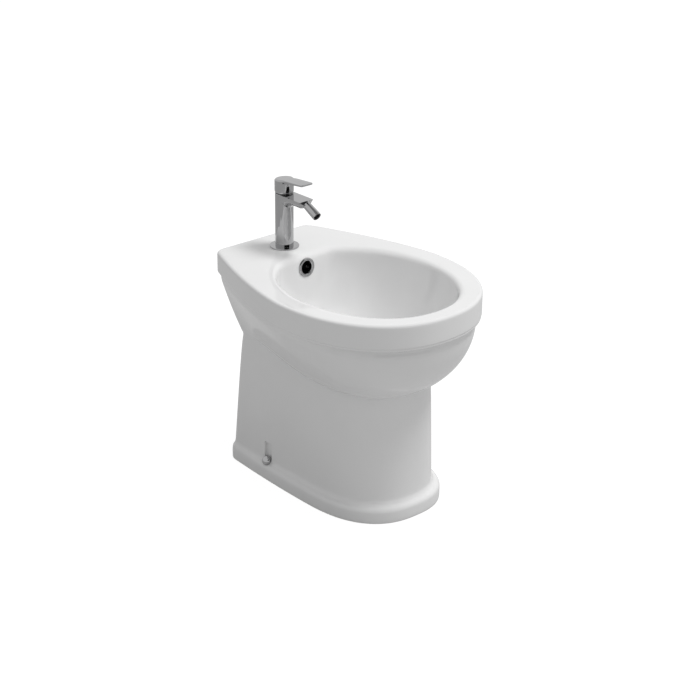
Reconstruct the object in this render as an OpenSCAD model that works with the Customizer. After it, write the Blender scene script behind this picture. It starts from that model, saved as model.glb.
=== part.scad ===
// Floor standing bidet with a single-lever mixer, click-clack waste and floor fixings.
// Millimetres. +Z is up, the floor is z = 0, the wall is towards +Y and the user sits towards -Y.
// x = 0 is the plane of symmetry and y = 0 is halfway along the rim.

/* [Rim and deck] */
// Height of the deck above the floor
rim_h = 400; // [380:1:430]
// Length of the rim from the wall edge to the front
rim_l = 490; // [486:1:520]
// Greatest width of the rim
rim_w = 366; // [350:1:390]
// Width of the straight edge at the wall
rim_back_w = 212; // [200:1:240]
// Rounding of the two corners at the wall
rim_corner = 14; // [8:1:24]
// Height of the upright band round the rim
band_h = 42; // [34:1:50]
// Rounding of the top edge of the band
edge_r = 5; // [3:0.5:8]
// Step in under the band
cove_in = 9; // [5:0.5:14]
// Height of the moulding under the band
cove_h = 12; // [8:0.5:18]
// Thickness of the deck
deck_t = 14; // [11:0.5:18]

/* [Basin] */
// Half width of the basin opening
basin_half_w = 137; // [126:1:142]
// Width of the rim in front of the basin opening
front_rim = 36; // [33:1:44]
// Depth of the deck behind the basin opening
rear_deck = 110; // [108:1:116]
// Depth of the basin below the deck
basin_depth = 150; // [130:1:156]
// Radius of the rolled edge of the opening
roll_r = 10; // [6:0.5:13]
// Radius of the flat round the drain
seat_r = 38; // [36:0.5:44]
// Drain centre, in front of the middle of the rim
drain_forward = 20; // [10:1:34]
// Drain hole diameter
drain_d = 46; // [44:0.5:48]
// Thickness of the fired clay walls
wall_t = 11; // [9:0.5:13]

/* [Pedestal] */
// Height of the waist line at the front
waist_h = 232; // [224:1:244]
// Rise of the waist line towards the wall
waist_rise = 26; // [10:1:34]
// Width of the pedestal at the waist
waist_w = 198; // [190:1:214]
// Rear face at the waist, behind the middle of the rim
waist_rear = 186; // [176:1:192]
// Front of the waist, in front of the middle of the rim
waist_front = 160; // [152:1:170]
// Width of the pedestal on the plinth
foot_w = 210; // [200:1:220]
// Rear face on the plinth, behind the middle of the rim
foot_rear = 209; // [198:1:212]
// Front of the pedestal on the plinth
foot_front = 164; // [156:1:174]
// Height of the plinth
plinth_h = 29; // [24:1:36]
// Width of the plinth
plinth_w = 238; // [232:1:246]
// Rear face of the plinth, behind the middle of the rim
plinth_rear = 216; // [212:1:222]
// Front of the plinth, in front of the middle of the rim
plinth_front = 178; // [175:1:186]
// Rounding of the top of the plinth
plinth_r = 9; // [6:0.5:12]
// Height of the soft moulding above the waist
bead_h = 17; // [10:0.5:24]
// How far the moulding stands out
bead_out = 0.75; // [0.5:0.25:3]
// Width of the service opening at the back
service_w = 150; // [130:1:160]
// Height of the service opening
service_h = 281; // [278:1:285]

/* [Mixer] */
// Tap centre, in front of the wall edge of the rim
tap_inset = 64.5; // [60:0.5:68]
// Diameter of the column
column_d = 33; // [32:0.5:34]
// Height of the column above the deck
column_h = 101; // [96:1:120]
// Diameter of the plate under the column
plate_d = 53; // [46:0.5:56]
// Thickness of the plate
plate_t = 2.5; // [2.5:0.5:4]
// Width of the spout bar
spout_w = 31; // [28:0.5:31]
// Depth of the spout bar
spout_t = 15; // [14:0.5:17]
// Reach of the nozzle's root from the tap centre
spout_reach = 58; // [52:0.5:90]
// Slope of the nozzle below level, in degrees
nozzle_slope = 27; // [20:1:35]
// Length of the nozzle
nozzle_l = 32.5; // [30:0.5:38]
// Diameter of the nozzle's end
nozzle_d = 16; // [15.5:0.5:18]
// Reach of the lever from the tap centre
lever_reach = 64; // [50:0.5:80]
// Width of the lever
lever_w = 26.6; // [20:0.2:30]
// Thickness of the lever's tip
lever_tip_t = 3; // [2.5:0.5:4]
// Rise of the lever towards its tip, in degrees
lever_rise = 4.3; // [0:0.1:8]
// Height of the hub on the tap's axis
hub_h = 25; // [24:0.5:30]

/* [Waste and overflow] */
// Diameter of the waste's flange
waste_flange_d = 63; // [60:0.5:66]
// Diameter of the threaded waste pipe
waste_pipe_d = 41.9; // [41.5:0.1:42.3]
// Length of the waste below the basin
waste_l = 92; // [86:1:110]
// Diameter of the plug's cap
cap_d = 60; // [56:0.5:62]
// Travel of the plug
plug_travel = 6; // [4:0.5:7]
// Outside diameter of the overflow ring
overflow_d = 35; // [33:0.5:36]
// Hole through the overflow ring
overflow_hole = 23; // [20:0.5:23]

/* [Floor fixings] */
// Fixings behind the middle of the rim
fixing_back = 105; // [95:1:115]
// Slope of the fixing screws above level, in degrees
fixing_slope = 40; // [35:1:45]
// Diameter of the chrome caps
fixing_cap_d = 18; // [17:0.5:19]
// Screw diameter
fixing_screw_d = 6; // [5:0.5:6]

/* [Hidden] */
$fn = 48;

// Colours
china = "white";
chrome = "silver";
steel = "lightslategray";
brass = "goldenrod";
black_rubber = [0.12, 0.12, 0.12];
dark_plastic = [0.2, 0.2, 0.22];
grey_plastic = "gray";
white_plastic = "whitesmoke";
disc_white = "ivory";

// Clearances: pieces that are assembled and stay put, pieces that turn or slide on each other
assembled = 0.1;
running = 0.05;
sliding = 0.3;

// Points of a half outline: front quarter, side, corner and wall edge
front_n = 11;
side_n = 7;
corner_n = 4;
back_n = 2;

// An outline is [back y, back half width, corner, widest y, widest half, front y, power, side power]
front_power = 2.2;
side_power = 1.51;
widest_y = -26;

function front_point(o, a) = [
    o[4] * pow(sin(a), 2 / o[6]),
    o[3] - (o[3] - o[5]) * pow(cos(a), 2 / o[6])
];
function side_point(o, s) = [
    o[4] - (o[4] - o[1]) * pow(s, o[7]),
    o[3] + (o[0] - o[3]) * s
];
function corner_point(o, q) =
    let (from = side_point(o, 1 - o[2] / (o[0] - o[3])), to = [o[1] - o[2], o[0]])
    (1 - q) * (1 - q) * from + 2 * q * (1 - q) * [o[1], o[0]] + q * q * to;
function half_outline(o) = concat(
    [for (i = [0:front_n]) front_point(o, 90 * i / front_n)],
    [for (i = [1:side_n]) side_point(o, (1 - o[2] / (o[0] - o[3])) * i / side_n)],
    [for (i = [1:corner_n]) corner_point(o, i / corner_n)],
    [for (i = [1:back_n]) [(o[1] - o[2]) * (1 - i / back_n), o[0]]]
);
function whole(half) = concat(half, [for (i = [len(half) - 2:-1:1]) [-half[i][0], half[i][1]]]);
function ring(o) = whole(half_outline(o));
function lifted(points, z) = [for (p = points) [p[0], p[1], z]];
function mixed(a, b, g) = [for (i = [0:len(a) - 1]) a[i] * (1 - g[i]) + b[i] * g[i]];
function same(g) = [for (i = [1:ring_n]) g];
function smooth(t) = let (c = max(0, min(1, t))) c * c * (3 - 2 * c);

ring_n = 2 * (front_n + side_n + corner_n + back_n);
rim_back = rim_l / 2;
tap_back = rim_back - tap_inset;

function rim_outline(inset) = [rim_back - inset, rim_back_w / 2 - inset, rim_corner, widest_y,
    rim_w / 2 - inset, -rim_l / 2 + inset, front_power, side_power];
function waist_outline(inset) = [waist_rear - inset, waist_w / 2 - 2 - inset, 10, -20,
    waist_w / 2 - inset, -waist_front + inset, 2.45, 2];
function foot_outline(inset) = [foot_rear - inset, foot_w / 2 - 4 - inset, 10, -20,
    foot_w / 2 - inset, -foot_front + inset, 2.5, 1.8];
function plinth_outline(inset) = [plinth_rear - inset, plinth_w / 2 - 12.5 - inset, 20, -20,
    plinth_w / 2 - inset, -plinth_front + inset, 2.5, 1.8];

// How round the bulge is at each point of the outline: full at the front, flatter at the sides
side_round = 0.22;
bulge_power = 0.75;
rim_ring = ring(rim_outline(0));
rearness = [for (p = rim_ring) smooth((p[1] + 20) / rim_back)];
roundness = [for (p = rim_ring) side_round + (1 - side_round) * smooth((-p[1] - 50) / 150)];
// The cove is full in front and a third as deep at the sides
side_cove = 0.35;
rear_cove = 0.2;
cove_share = [for (p = rim_ring) side_cove + (1 - side_cove) * smooth((-p[1] - 40) / 140)
    + rear_cove * pow(smooth((p[1] + 20) / rim_back), 2)];
band_rise = 4;
band_bottom = rim_h - band_h;
band_low = [for (r = rearness) band_bottom + band_rise * r];
cove_z = band_bottom - cove_h;
waist_z = [for (r = rearness) waist_h + waist_rise * r];

function raised(points, z) = [for (i = [0:len(points) - 1]) [points[i][0], points[i][1], z[i]]];
function cove_ring(inset, depth) =
    mixed(ring(rim_outline(inset)), ring(rim_outline(depth + inset)), cove_share);
// The bulge from the cove down to the waist, u = 0 to 1 downwards
function bulge_ring(u, inset) =
    let (g = [for (m = roundness) (1 - m) * u + m * (1 - pow(1 - pow(u, 2), bulge_power))])
    raised(mixed(cove_ring(inset, cove_in), ring(waist_outline(inset)), g),
        [for (w = waist_z) cove_z + (w - cove_z) * u]);
// The soft moulding that ends the bulge, v = 0 to 1 from its top down to the waist
bead_share = bead_h / (cove_z - waist_h);
function moulding_ring(v) = bulge_ring(1 - bead_share * (1 - v), -bead_out * sin(180 * v));
// The pedestal from the waist down to the plinth
function pedestal_ring(u, inset) =
    raised(mixed(ring(waist_outline(inset)), ring(foot_outline(inset)), same(pow(u, 0.85))),
        [for (w = waist_z) w + (plinth_h - w) * u]);

// Basin: an egg about its own centre, with a wall that falls steeply and flattens to the drain
basin_half_l = (rim_l - front_rim - rear_deck) / 2;
basin_y = front_rim + basin_half_l - rim_l / 2;
basin_rear = basin_y + basin_half_l;
drain_y = -drain_forward;
basin_floor = rim_h - basin_depth;
roll_drop = roll_r;
steep = 1.15;
rear_steep = 1.6;
flatten = 2.2;
// The flat panel of the rear wall that carries the overflow, and how softly it meets the egg
panel_in = 14;
panel_lean = 14;
panel_soft = 3;
function panelled(y, limit) = y - panel_soft * ln(1 + exp((y - limit) / panel_soft));
directions = [for (p = rim_ring) atan2(p[0], p[1] - basin_y)];
function egg(a, half_w, half_l) =
    let (n = cos(a) < 0 ? 2.15 : 2)
    1 / pow(pow(abs(sin(a)) / half_w, n) + pow(abs(cos(a)) / half_l, n), 1 / n);
function egg_ring(centre, half_w, half_l, z) = [for (a = directions)
    let (r = egg(a, half_w, half_l))
    [r * sin(a), panelled(centre + r * cos(a), centre + half_l - panel_in), z]];
// t = 0 at the opening and 90 at the drain flat
function basin_ring(t, grow, drop) = [for (a = directions)
    let (
        s = pow(cos(t), 2 / flatten),
        q = steep + (rear_steep - steep) * smooth(cos(a)),
        d = pow(sin(t), 2 / q),
        r = egg(a, seat_r + (basin_half_w - seat_r) * s + grow, seat_r + (basin_half_l - seat_r) * s + grow)
    )
    [r * sin(a), panelled(basin_y + (drain_y - basin_y) * (1 - s) + r * cos(a),
            basin_rear - panel_in + grow - panel_lean * d),
        rim_h - roll_drop - (basin_depth - roll_drop) * d - drop]];

module rings_solid(rings, start, end) {
    n = len(rings[0]);
    m = len(rings);
    points = concat([start], [for (r = rings) each r], [end]);
    function id(k, i) = 1 + k * n + i % n;
    faces = concat(
        [for (i = [0:n - 1]) [0, id(0, i + 1), id(0, i)]],
        [for (k = [0:m - 2], i = [0:n - 1]) [id(k, i), id(k, i + 1), id(k + 1, i + 1)]],
        [for (k = [0:m - 2], i = [0:n - 1]) [id(k, i), id(k + 1, i + 1), id(k + 1, i)]],
        [for (i = [0:n - 1]) [1 + m * n, id(m - 1, i), id(m - 1, i + 1)]]
    );
    polyhedron(points, faces, convexity = 10);
}

basin_n = 9;
skin = concat(
    [for (i = [basin_n:-1:0]) basin_ring(90 * i / basin_n, 0, 0)],
    [for (a = [60, 30, 0]) egg_ring(basin_y, basin_half_w + roll_r * (1 - sin(a)),
        basin_half_l + roll_r * (1 - sin(a)), rim_h - roll_r * (1 - cos(a)))],
    [for (a = [0, 45, 90]) lifted(ring(rim_outline(edge_r * (1 - sin(a)))),
        rim_h - edge_r * (1 - cos(a)))],
    [raised(ring(rim_outline(0)), band_low)],
    [for (a = [45, 90]) raised(cove_ring(0, cove_in * (1 - cos(a))),
        [for (z = band_low) z + (cove_z - z) * sin(a) * 0.8])],
    [for (i = [0:6]) bulge_ring((1 - bead_share) * i / 7, 0)],
    [for (i = [0:4]) moulding_ring(i / 4)],
    [for (i = [1:5]) pedestal_ring(i / 5, 0)],
    [for (a = [0, 30, 60, 90]) lifted(ring(plinth_outline(plinth_r * (1 - sin(a)))),
        plinth_h - plinth_r * (1 - cos(a)))],
    [lifted(ring(plinth_outline(0)), 2), lifted(ring(plinth_outline(2)), 0)]
);
hollow = concat(
    [lifted(ring(foot_outline(wall_t)), 0)],
    [for (i = [4:-1:1]) pedestal_ring(i / 4, wall_t)],
    [for (i = [4:-1:0]) bulge_ring(i / 4, wall_t)],
    [lifted(cove_ring(wall_t, cove_in), rim_h - deck_t)],
    [lifted(mixed(cove_ring(wall_t, cove_in), basin_ring(90 / basin_n, wall_t, wall_t), same(0.95)),
        rim_h - deck_t)],
    [for (i = [1:basin_n]) basin_ring(90 * i / basin_n, wall_t, wall_t)]
);

// Openings and features of the casting
boss_r = 37;
boss_drop = 39;
boss_bottom = basin_floor - wall_t - boss_drop;
boss_h = basin_floor - wall_t / 2 - boss_bottom;
duct_y = basin_rear + 3;
duct_r = 16;
duct_bore_r = 10;
duct_z = basin_floor - 25;
duct_l = duct_y - drain_y - drain_d / 2 - 2;
duct_top = rim_h - deck_t + 3;
deck_hole_r = 17.5;
overflow_point = [0, basin_rear - panel_in - 2.4, rim_h - 23.2];
overflow_slope = 85;
overflow_spot = 1.6;
overflow_bore_r = 12.7;
overflow_bore_l = 24;

// The overflow's own frame: +z points out of the basin wall into the basin
module overflow_frame() {
    translate(overflow_point) rotate([overflow_slope, 0, 0]) children();
}

// The frame of a floor fixing: +z points outwards along the screw, z = 0 is the seat on the plinth
fixing_seat = [105, 0, plinth_h + 3.4];
module fixing_frame(side) {
    translate([side * fixing_seat[0], fixing_back, fixing_seat[2]])
        rotate([0, side * (90 - fixing_slope), 0]) children();
}
module both_fixings() {
    for (side = [-1, 1]) fixing_frame(side) children();
}

seat_face_r = fixing_cap_d / 2 + 1;
notch_w = 20;
notch_h = 68;
notch_depth = 3;
fixing_hole_r = fixing_screw_d / 2 + 1;
fixing_hole_l = 40;
spot_l = 20;

service_depth = 80;

module service_opening() {
    arch_r = service_w / 2;
    arch_z = service_h - arch_r;
    translate([0, waist_rear - 30, 0]) {
        translate([-arch_r, 0, -1]) cube([service_w, service_depth, arch_z + 1]);
        translate([0, service_depth, arch_z]) rotate([90, 0, 0])
            cylinder(r = arch_r, h = service_depth, $fn = 96);
    }
}

module ceramic_body() {
    color(china)
    difference() {
        union() {
            rings_solid(concat(skin, hollow), [0, drain_y, basin_floor], [0, drain_y, basin_floor - wall_t]);
            translate([0, drain_y, boss_bottom]) cylinder(r = boss_r, h = boss_h);
            translate([0, duct_y, duct_z - duct_r]) cylinder(r = duct_r, h = duct_top - duct_z + duct_r);
            translate([0, duct_y, duct_z]) rotate([90, 0, 0]) cylinder(r = duct_r, h = duct_l);
        }
        translate([0, drain_y, boss_bottom - 1]) cylinder(d = drain_d, h = basin_depth);
        translate([0, duct_y, duct_z - duct_bore_r]) cylinder(r = duct_bore_r, h = duct_top - duct_z);
        translate([0, duct_y, duct_z]) rotate([90, 0, 0]) cylinder(r = duct_bore_r, h = duct_y - drain_y);
        overflow_frame() {
            translate([0, 0, -overflow_bore_l]) cylinder(r = overflow_bore_r, h = overflow_bore_l + spot_l);
            translate([0, 0, -overflow_spot]) cylinder(d = overflow_d + 1, h = spot_l);
        }
        translate([0, tap_back, rim_h - 2 * deck_t]) cylinder(r = deck_hole_r, h = 3 * deck_t);
        service_opening();
        both_fixings() {
            cylinder(r = seat_face_r, h = spot_l);
            translate([0, 0, -fixing_hole_l]) cylinder(r = fixing_hole_r, h = fixing_hole_l + 1);
        }
        for (side = [-1, 1]) translate([side * (foot_w / 2 - 4), fixing_back, 0])
            translate([side > 0 ? -notch_depth : -spot_l + notch_depth, -notch_w / 2, plinth_h + 4])
                cube([spot_l, notch_w, notch_h - plinth_h - 4]);
    }
}

// Mixer: every height is above the deck, and y is from the tap centre
module tap_frame() {
    translate([0, tap_back, rim_h]) children();
}
module ring_piece(outer_r, inner_r, bottom, top) {
    translate([0, 0, bottom]) difference() {
        cylinder(r = outer_r, h = top - bottom);
        translate([0, 0, -1]) cylinder(r = inner_r, h = top - bottom + 2);
    }
}
module turned(points) {
    rotate_extrude() polygon(points);
}

column_r = column_d / 2;
seal_t = 1.2;
spigot_r = 15.3;
spigot_drop = 9;
plate_lip = 0.2;

module tap_base_seal() {
    color(black_rubber) tap_frame() ring_piece(plate_d / 2 - 2.4, spigot_r + 1, 0, seal_t);
}
module tap_base_ring() {
    outer = plate_d / 2;
    hole = spigot_r + assembled;
    color(chrome) tap_frame() turned([
        [hole, seal_t + 0.05], [outer - 2, seal_t + 0.05], [outer - 2, plate_lip], [outer, plate_lip],
        [outer, plate_t - 0.6], [outer - 0.6, plate_t], [hole, plate_t]
    ]);
}

// Cartridge chamber
chamber_floor = column_h - 39;
chamber_r = 14.2;
column_chamfer = 0.8;
inlet_x = 7.2;
inlet_y = 3.5;
inlet_r = 5;
inlet_thread_l = 14;
waterway_r = 2.6;
port_x = 5.2;
port_y = 3;
stud_y = -8.5;
stud_r = 4;
stud_l = 58;
stud_in = 12;
spout_bore_r = 2.6;
spout_bore_z = column_h - 11.5;
spout_bore_rise = 8.7;
spout_bore_start = 12;
face_z = column_h - 5.5;

// The nozzle's own frame: +z points out of the spout's cut face along the nozzle
module nozzle_frame() {
    tap_frame() translate([0, -spout_reach, face_z]) rotate([90 + nozzle_slope, 0, 0]) children();
}

// Cross sections of the spout, deeper where it blends into the column
spout_half_n = 12;
blend_l = 15;
blend_t = 9;
spout_top = column_h - column_chamfer / 2;
function spout_depth(f) = spout_t + blend_t * pow(max(0, min(1, 1 - (f - column_r) / blend_l)), 2);
function spout_section(f) = [for (i = [0:spout_half_n])
    let (a = 180 * i / spout_half_n, e = 2 / 2.3)
    [spout_w / 2 * sign(cos(a)) * pow(abs(cos(a)), e), -f, spout_top - spout_depth(f) * pow(sin(a), e)]];
module spout_bar() {
    end_f = spout_reach + 8;
    places = concat([0], [for (i = [0:5]) column_r + blend_l * i / 5], [end_f]);
    rings_solid([for (f = places) spout_section(f)], [0, 0, spout_top - 5], [0, -end_f, spout_top - 5]);
}

module tap_body() {
    stud_hole_r = stud_r + assembled;
    color(chrome)
    difference() {
        union() {
            tap_frame() {
                translate([0, 0, plate_t]) cylinder(r = column_r, h = column_h - column_chamfer - plate_t);
                translate([0, 0, column_h - column_chamfer])
                    cylinder(r1 = column_r, r2 = column_r - column_chamfer, h = column_chamfer);
                translate([0, 0, -spigot_drop]) cylinder(r = spigot_r, h = spigot_drop + plate_t + 1);
                spout_bar();
            }
        }
        tap_frame() {
            translate([0, 0, chamber_floor]) cylinder(r = chamber_r, h = column_h);
            for (side = [-1, 1]) {
                translate([side * inlet_x, inlet_y, -spigot_drop - 1])
                    cylinder(r = inlet_r, h = inlet_thread_l + 1);
                translate([side * port_x, port_y, 0]) cylinder(r = waterway_r, h = column_h);
            }
            translate([0, stud_y, -spigot_drop - 1]) cylinder(r = stud_hole_r, h = stud_in + 1);
            translate([0, -spout_bore_start, spout_bore_z]) rotate([90 - spout_bore_rise, 0, 0])
                cylinder(r = spout_bore_r, h = spout_reach - spout_bore_start - 2.5);
        }
        nozzle_frame() {
            translate([-spout_w, -spout_w, 0]) cube([2 * spout_w, 2 * spout_w, 2 * spout_w]);
            translate([0, 0, -stud_thread_l]) cylinder(r = stud_thread_r + assembled, h = stud_thread_l + 1);
        }
    }
}

// Cartridge, from the chamber floor up
pivot_z = column_h - 15.5;
foot_drop = 6.5;
foot_r = 2.4;
case_bottom = chamber_floor + 1.5;
case_r = 12;
case_inner_r = 10.4;
disc_z = case_bottom + 6.3;
disc_t = 3;
disc_gap = 0.1;
disc_r = 10.2;
moving_disc_r = 8.2;
moving_disc_z = disc_z + disc_t + disc_gap;
moving_disc_top = pivot_z - 7.1;
moving_rest_y = 1;
carrier_bottom = moving_disc_top + sliding;
carrier_r = 10;
carrier_shoulder = column_h - 13;
carrier_neck_r = 9.2;
carrier_top = column_h - 2;
case_neck_r = carrier_neck_r + 0.4;
flange_z = column_h - 8.2;
flange_top = column_h - 4.4;
nut_top = column_h - 0.4;
nut_inner_r = 10.7;
outlet_y = -6;
port_r = 2.2;

module cartridge_seals() {
    color(black_rubber) tap_frame() {
        for (side = [-1, 1]) translate([side * port_x, port_y, 0])
            ring_piece(waterway_r + 1.4, waterway_r, chamber_floor + 0.02, case_bottom - 0.02);
        translate([0, 0, flange_z + 1.8]) rotate_extrude() translate([13.4, 0]) circle(r = 0.7, $fn = 24);
    }
}
module cartridge_case() {
    color(white_plastic) tap_frame() difference() {
        turned([
            [0, case_bottom], [case_r, case_bottom], [case_r, flange_z], [13.9, flange_z],
            [13.9, flange_z + 0.9], [12.6, flange_z + 0.9], [12.6, flange_z + 2.7], [13.9, flange_z + 2.7],
            [13.9, flange_top], [nut_inner_r - 0.2, flange_top], [nut_inner_r - 0.2, carrier_top],
            [case_neck_r, carrier_top], [case_neck_r, carrier_shoulder + 0.4],
            [case_inner_r, carrier_shoulder + 0.4], [case_inner_r, disc_z - 0.05], [0, disc_z - 0.05]
        ]);
        for (side = [-1, 1]) translate([side * port_x, port_y, case_bottom - 1])
            cylinder(r = port_r, h = 10);
        translate([0, outlet_y, case_bottom + 1.5]) cylinder(r = port_r, h = 10);
        translate([0, outlet_y, case_bottom + 3]) rotate([90, 0, 0]) cylinder(r = 1.5, h = 10);
    }
}
module fixed_disc() {
    color(disc_white) tap_frame() difference() {
        translate([0, 0, disc_z]) cylinder(r = disc_r, h = disc_t);
        for (side = [-1, 1]) translate([side * port_x, port_y, disc_z - 1])
            cylinder(r = port_r, h = disc_t + 2);
        translate([0, outlet_y, disc_z - 1]) cylinder(r = port_r, h = disc_t + 2);
    }
}
module moving_disc() {
    slot_half_x = 3.3;
    slot_half_y = foot_r + sliding;
    slot_floor = pivot_z - foot_drop - foot_r - 0.4;
    color(disc_white) tap_frame() difference() {
        translate([0, moving_rest_y, moving_disc_z])
            cylinder(r = moving_disc_r, h = moving_disc_top - moving_disc_z);
        translate([-slot_half_x, -slot_half_y, slot_floor]) cube([2 * slot_half_x, 2 * slot_half_y, 10]);
        translate([0, moving_rest_y - 1, moving_disc_z - 1]) cylinder(r = 5, h = 2.2);
    }
}

// The stem tilts back by up to this angle about the pin
lift_angle = 18;
stem_half_x = 3.5;
stem_half_y = 3;
slot_half_x = stem_half_x + 0.2;
slot_front = 3.5;
slot_front_low = 5;
slot_rear = 7.8;
pin_r = 1.5;
pin_half_l = 9.3;

module spindle_carrier() {
    color(grey_plastic) tap_frame() difference() {
        turned([
            [0, carrier_bottom], [carrier_r, carrier_bottom], [carrier_r, carrier_shoulder],
            [carrier_neck_r, carrier_shoulder], [carrier_neck_r, carrier_top], [0, carrier_top]
        ]);
        translate([-slot_half_x, -slot_front, carrier_bottom - 1])
            cube([2 * slot_half_x, slot_front + slot_rear, 30]);
        translate([-slot_half_x, -slot_front_low, carrier_bottom - 1])
            cube([2 * slot_half_x, slot_front_low, pivot_z - carrier_bottom + 1]);
        translate([-15, 0, pivot_z]) rotate([0, 90, 0]) cylinder(r = pin_r + running, h = 30);
    }
}
module cartridge_nut() {
    color(brass) tap_frame() difference() {
        ring_piece(chamber_r - assembled, nut_inner_r, flange_top + 0.05, nut_top);
        for (a = [0:60:300]) rotate([0, 0, a])
            translate([nut_inner_r - 1, -1.2, nut_top - 1.4]) cube([2.4, 2.4, 3]);
    }
}
module glide_ring() {
    color(dark_plastic) tap_frame() ring_piece(13.4, nut_inner_r + 1.6, nut_top + 0.05, column_h + 1);
}
module lever_pivot_pin() {
    color(steel) tap_frame() translate([-pin_half_l, 0, pivot_z]) rotate([0, 90, 0])
        cylinder(r = pin_r, h = 2 * pin_half_l);
}

// Hub and lever
hub_gap = 1.5;
hub_bottom = column_h + hub_gap;
hub_top = hub_bottom + hub_h;
hub_r = column_r;
hub_top_r = column_r + 0.7;
skirt_r = column_r - 1.4;
hub_ceiling = hub_bottom + 6.5;
hub_round = 2.4;
socket_top = hub_bottom + 19;
stem_top = socket_top - 0.4;
grub_z = hub_bottom + 12.2;
grub_r = 2.5;
plug_r = 4.5;
plug_depth = 3;
lever_root_t = 4.4;
lever_corner = 4;

module lever_stem() {
    color(steel) tap_frame() difference() {
        union() {
            translate([-stem_half_x, -stem_half_y, pivot_z - 3.5])
                cube([2 * stem_half_x, 2 * stem_half_y, stem_top - pivot_z + 3.5]);
            translate([-2.4, -1.5, pivot_z - foot_drop]) cube([4.8, 3, 4]);
            translate([-3, 0, pivot_z - foot_drop]) rotate([0, 90, 0]) cylinder(r = foot_r, h = 6);
        }
        translate([-15, 0, pivot_z]) rotate([0, 90, 0]) cylinder(r = pin_r + running, h = 30);
    }
}

// Plan of the lever: parallel sides and a tip with rounded corners
module lever_plan() {
    half = lever_w / 2;
    r = lever_corner;
    polygon(concat(
        [[-half, 0], [half, 0]],
        [for (i = [0:6]) [half - r + r * cos(15 * i), r - lever_reach - r * sin(15 * i)]],
        [for (i = [6:-1:0]) [r - half - r * cos(15 * i), r - lever_reach - r * sin(15 * i)]]
    ));
}
// Side view of hub and lever: the top is one plane that rises towards the tip
module lever_side() {
    function top_z(f) = hub_top + f * tan(lever_rise);
    soft = 0.5;
    polygon([
        [hub_top_r + 1, top_z(-hub_top_r - 1)], [soft - lever_reach, top_z(lever_reach - soft)],
        [-lever_reach, top_z(lever_reach) - soft], [-lever_reach, top_z(lever_reach) - lever_tip_t + soft],
        [soft - lever_reach, top_z(lever_reach) - lever_tip_t], [-hub_r, top_z(hub_r) - lever_root_t],
        [hub_top_r + 1, top_z(-hub_top_r - 1) - lever_root_t]
    ]);
}
module side_extrusion(depth) {
    rotate([90, 0, 90]) translate([0, 0, -depth / 2]) linear_extrude(depth) children();
}
module lever_handle() {
    rim_z = hub_top - hub_top_r * tan(lever_rise) - hub_round;
    color(chrome) tap_frame() difference() {
        union() {
            intersection() {
                turned([
                    [0, hub_bottom], [hub_r, hub_bottom], [hub_r + 0.4, hub_bottom + 2], [hub_top_r, rim_z],
                    [hub_top_r - 0.3 * hub_round, rim_z + 0.7 * hub_round],
                    [hub_top_r - hub_round, rim_z + hub_round + 2], [0, rim_z + hub_round + 2]
                ]);
                side_extrusion(4 * hub_r) polygon([
                    [-2 * hub_r, hub_bottom - 1], [2 * hub_r, hub_bottom - 1],
                    [2 * hub_r, hub_top - 2 * hub_r * tan(lever_rise)],
                    [-2 * hub_r, hub_top + 2 * hub_r * tan(lever_rise)]
                ]);
            }
            intersection() {
                translate([0, 0, hub_bottom]) linear_extrude(2 * hub_h) lever_plan();
                side_extrusion(4 * hub_r) lever_side();
            }
        }
        translate([0, 0, hub_bottom - 1]) cylinder(r = skirt_r, h = hub_ceiling - hub_bottom + 1);
        translate([-stem_half_x - assembled, -stem_half_y - assembled, hub_bottom])
            cube([2 * (stem_half_x + assembled), 2 * (stem_half_y + assembled), socket_top - hub_bottom]);
        translate([0, 0, grub_z]) rotate([-90, 0, 0]) cylinder(r = grub_r + assembled, h = hub_r + 5);
        translate([0, hub_r - plug_depth, grub_z]) rotate([-90, 0, 0])
            cylinder(r = plug_r + assembled, h = 10);
    }
}
module lever_grub_screw() {
    length = 8;
    color(steel) tap_frame() translate([0, stem_half_y + 0.1, grub_z]) rotate([-90, 0, 0]) difference() {
        cylinder(r = grub_r, h = length);
        translate([0, 0, length - 2.5]) cylinder(r = 1.4, h = 3, $fn = 6);
    }
}
module lever_plug() {
    color(dark_plastic) tap_frame() intersection() {
        translate([0, hub_r - plug_depth + 0.05, grub_z]) rotate([-90, 0, 0]) cylinder(r = plug_r, h = 6);
        cylinder(r = hub_r - 0.1, h = hub_top);
    }
}

// Nozzle
stud_thread_r = 3.2;
stud_thread_l = 3.5;
ball_r = 5;
ball_z = 6.5;
neck_r = 2.6;
nozzle_bore_r = 1.7;
ball_seat_r = ball_r + sliding;
nozzle_start = 3;
nozzle_end = nozzle_start + nozzle_l;
nozzle_root_r = nozzle_d / 2 - 0.75;
collar_t = 0.6;
lip_r = 4.3;
aerator_z = nozzle_end - 9;
aerator_r = nozzle_d / 2 - 1;
nozzle_inner_r = nozzle_d / 2 - 2;

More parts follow.
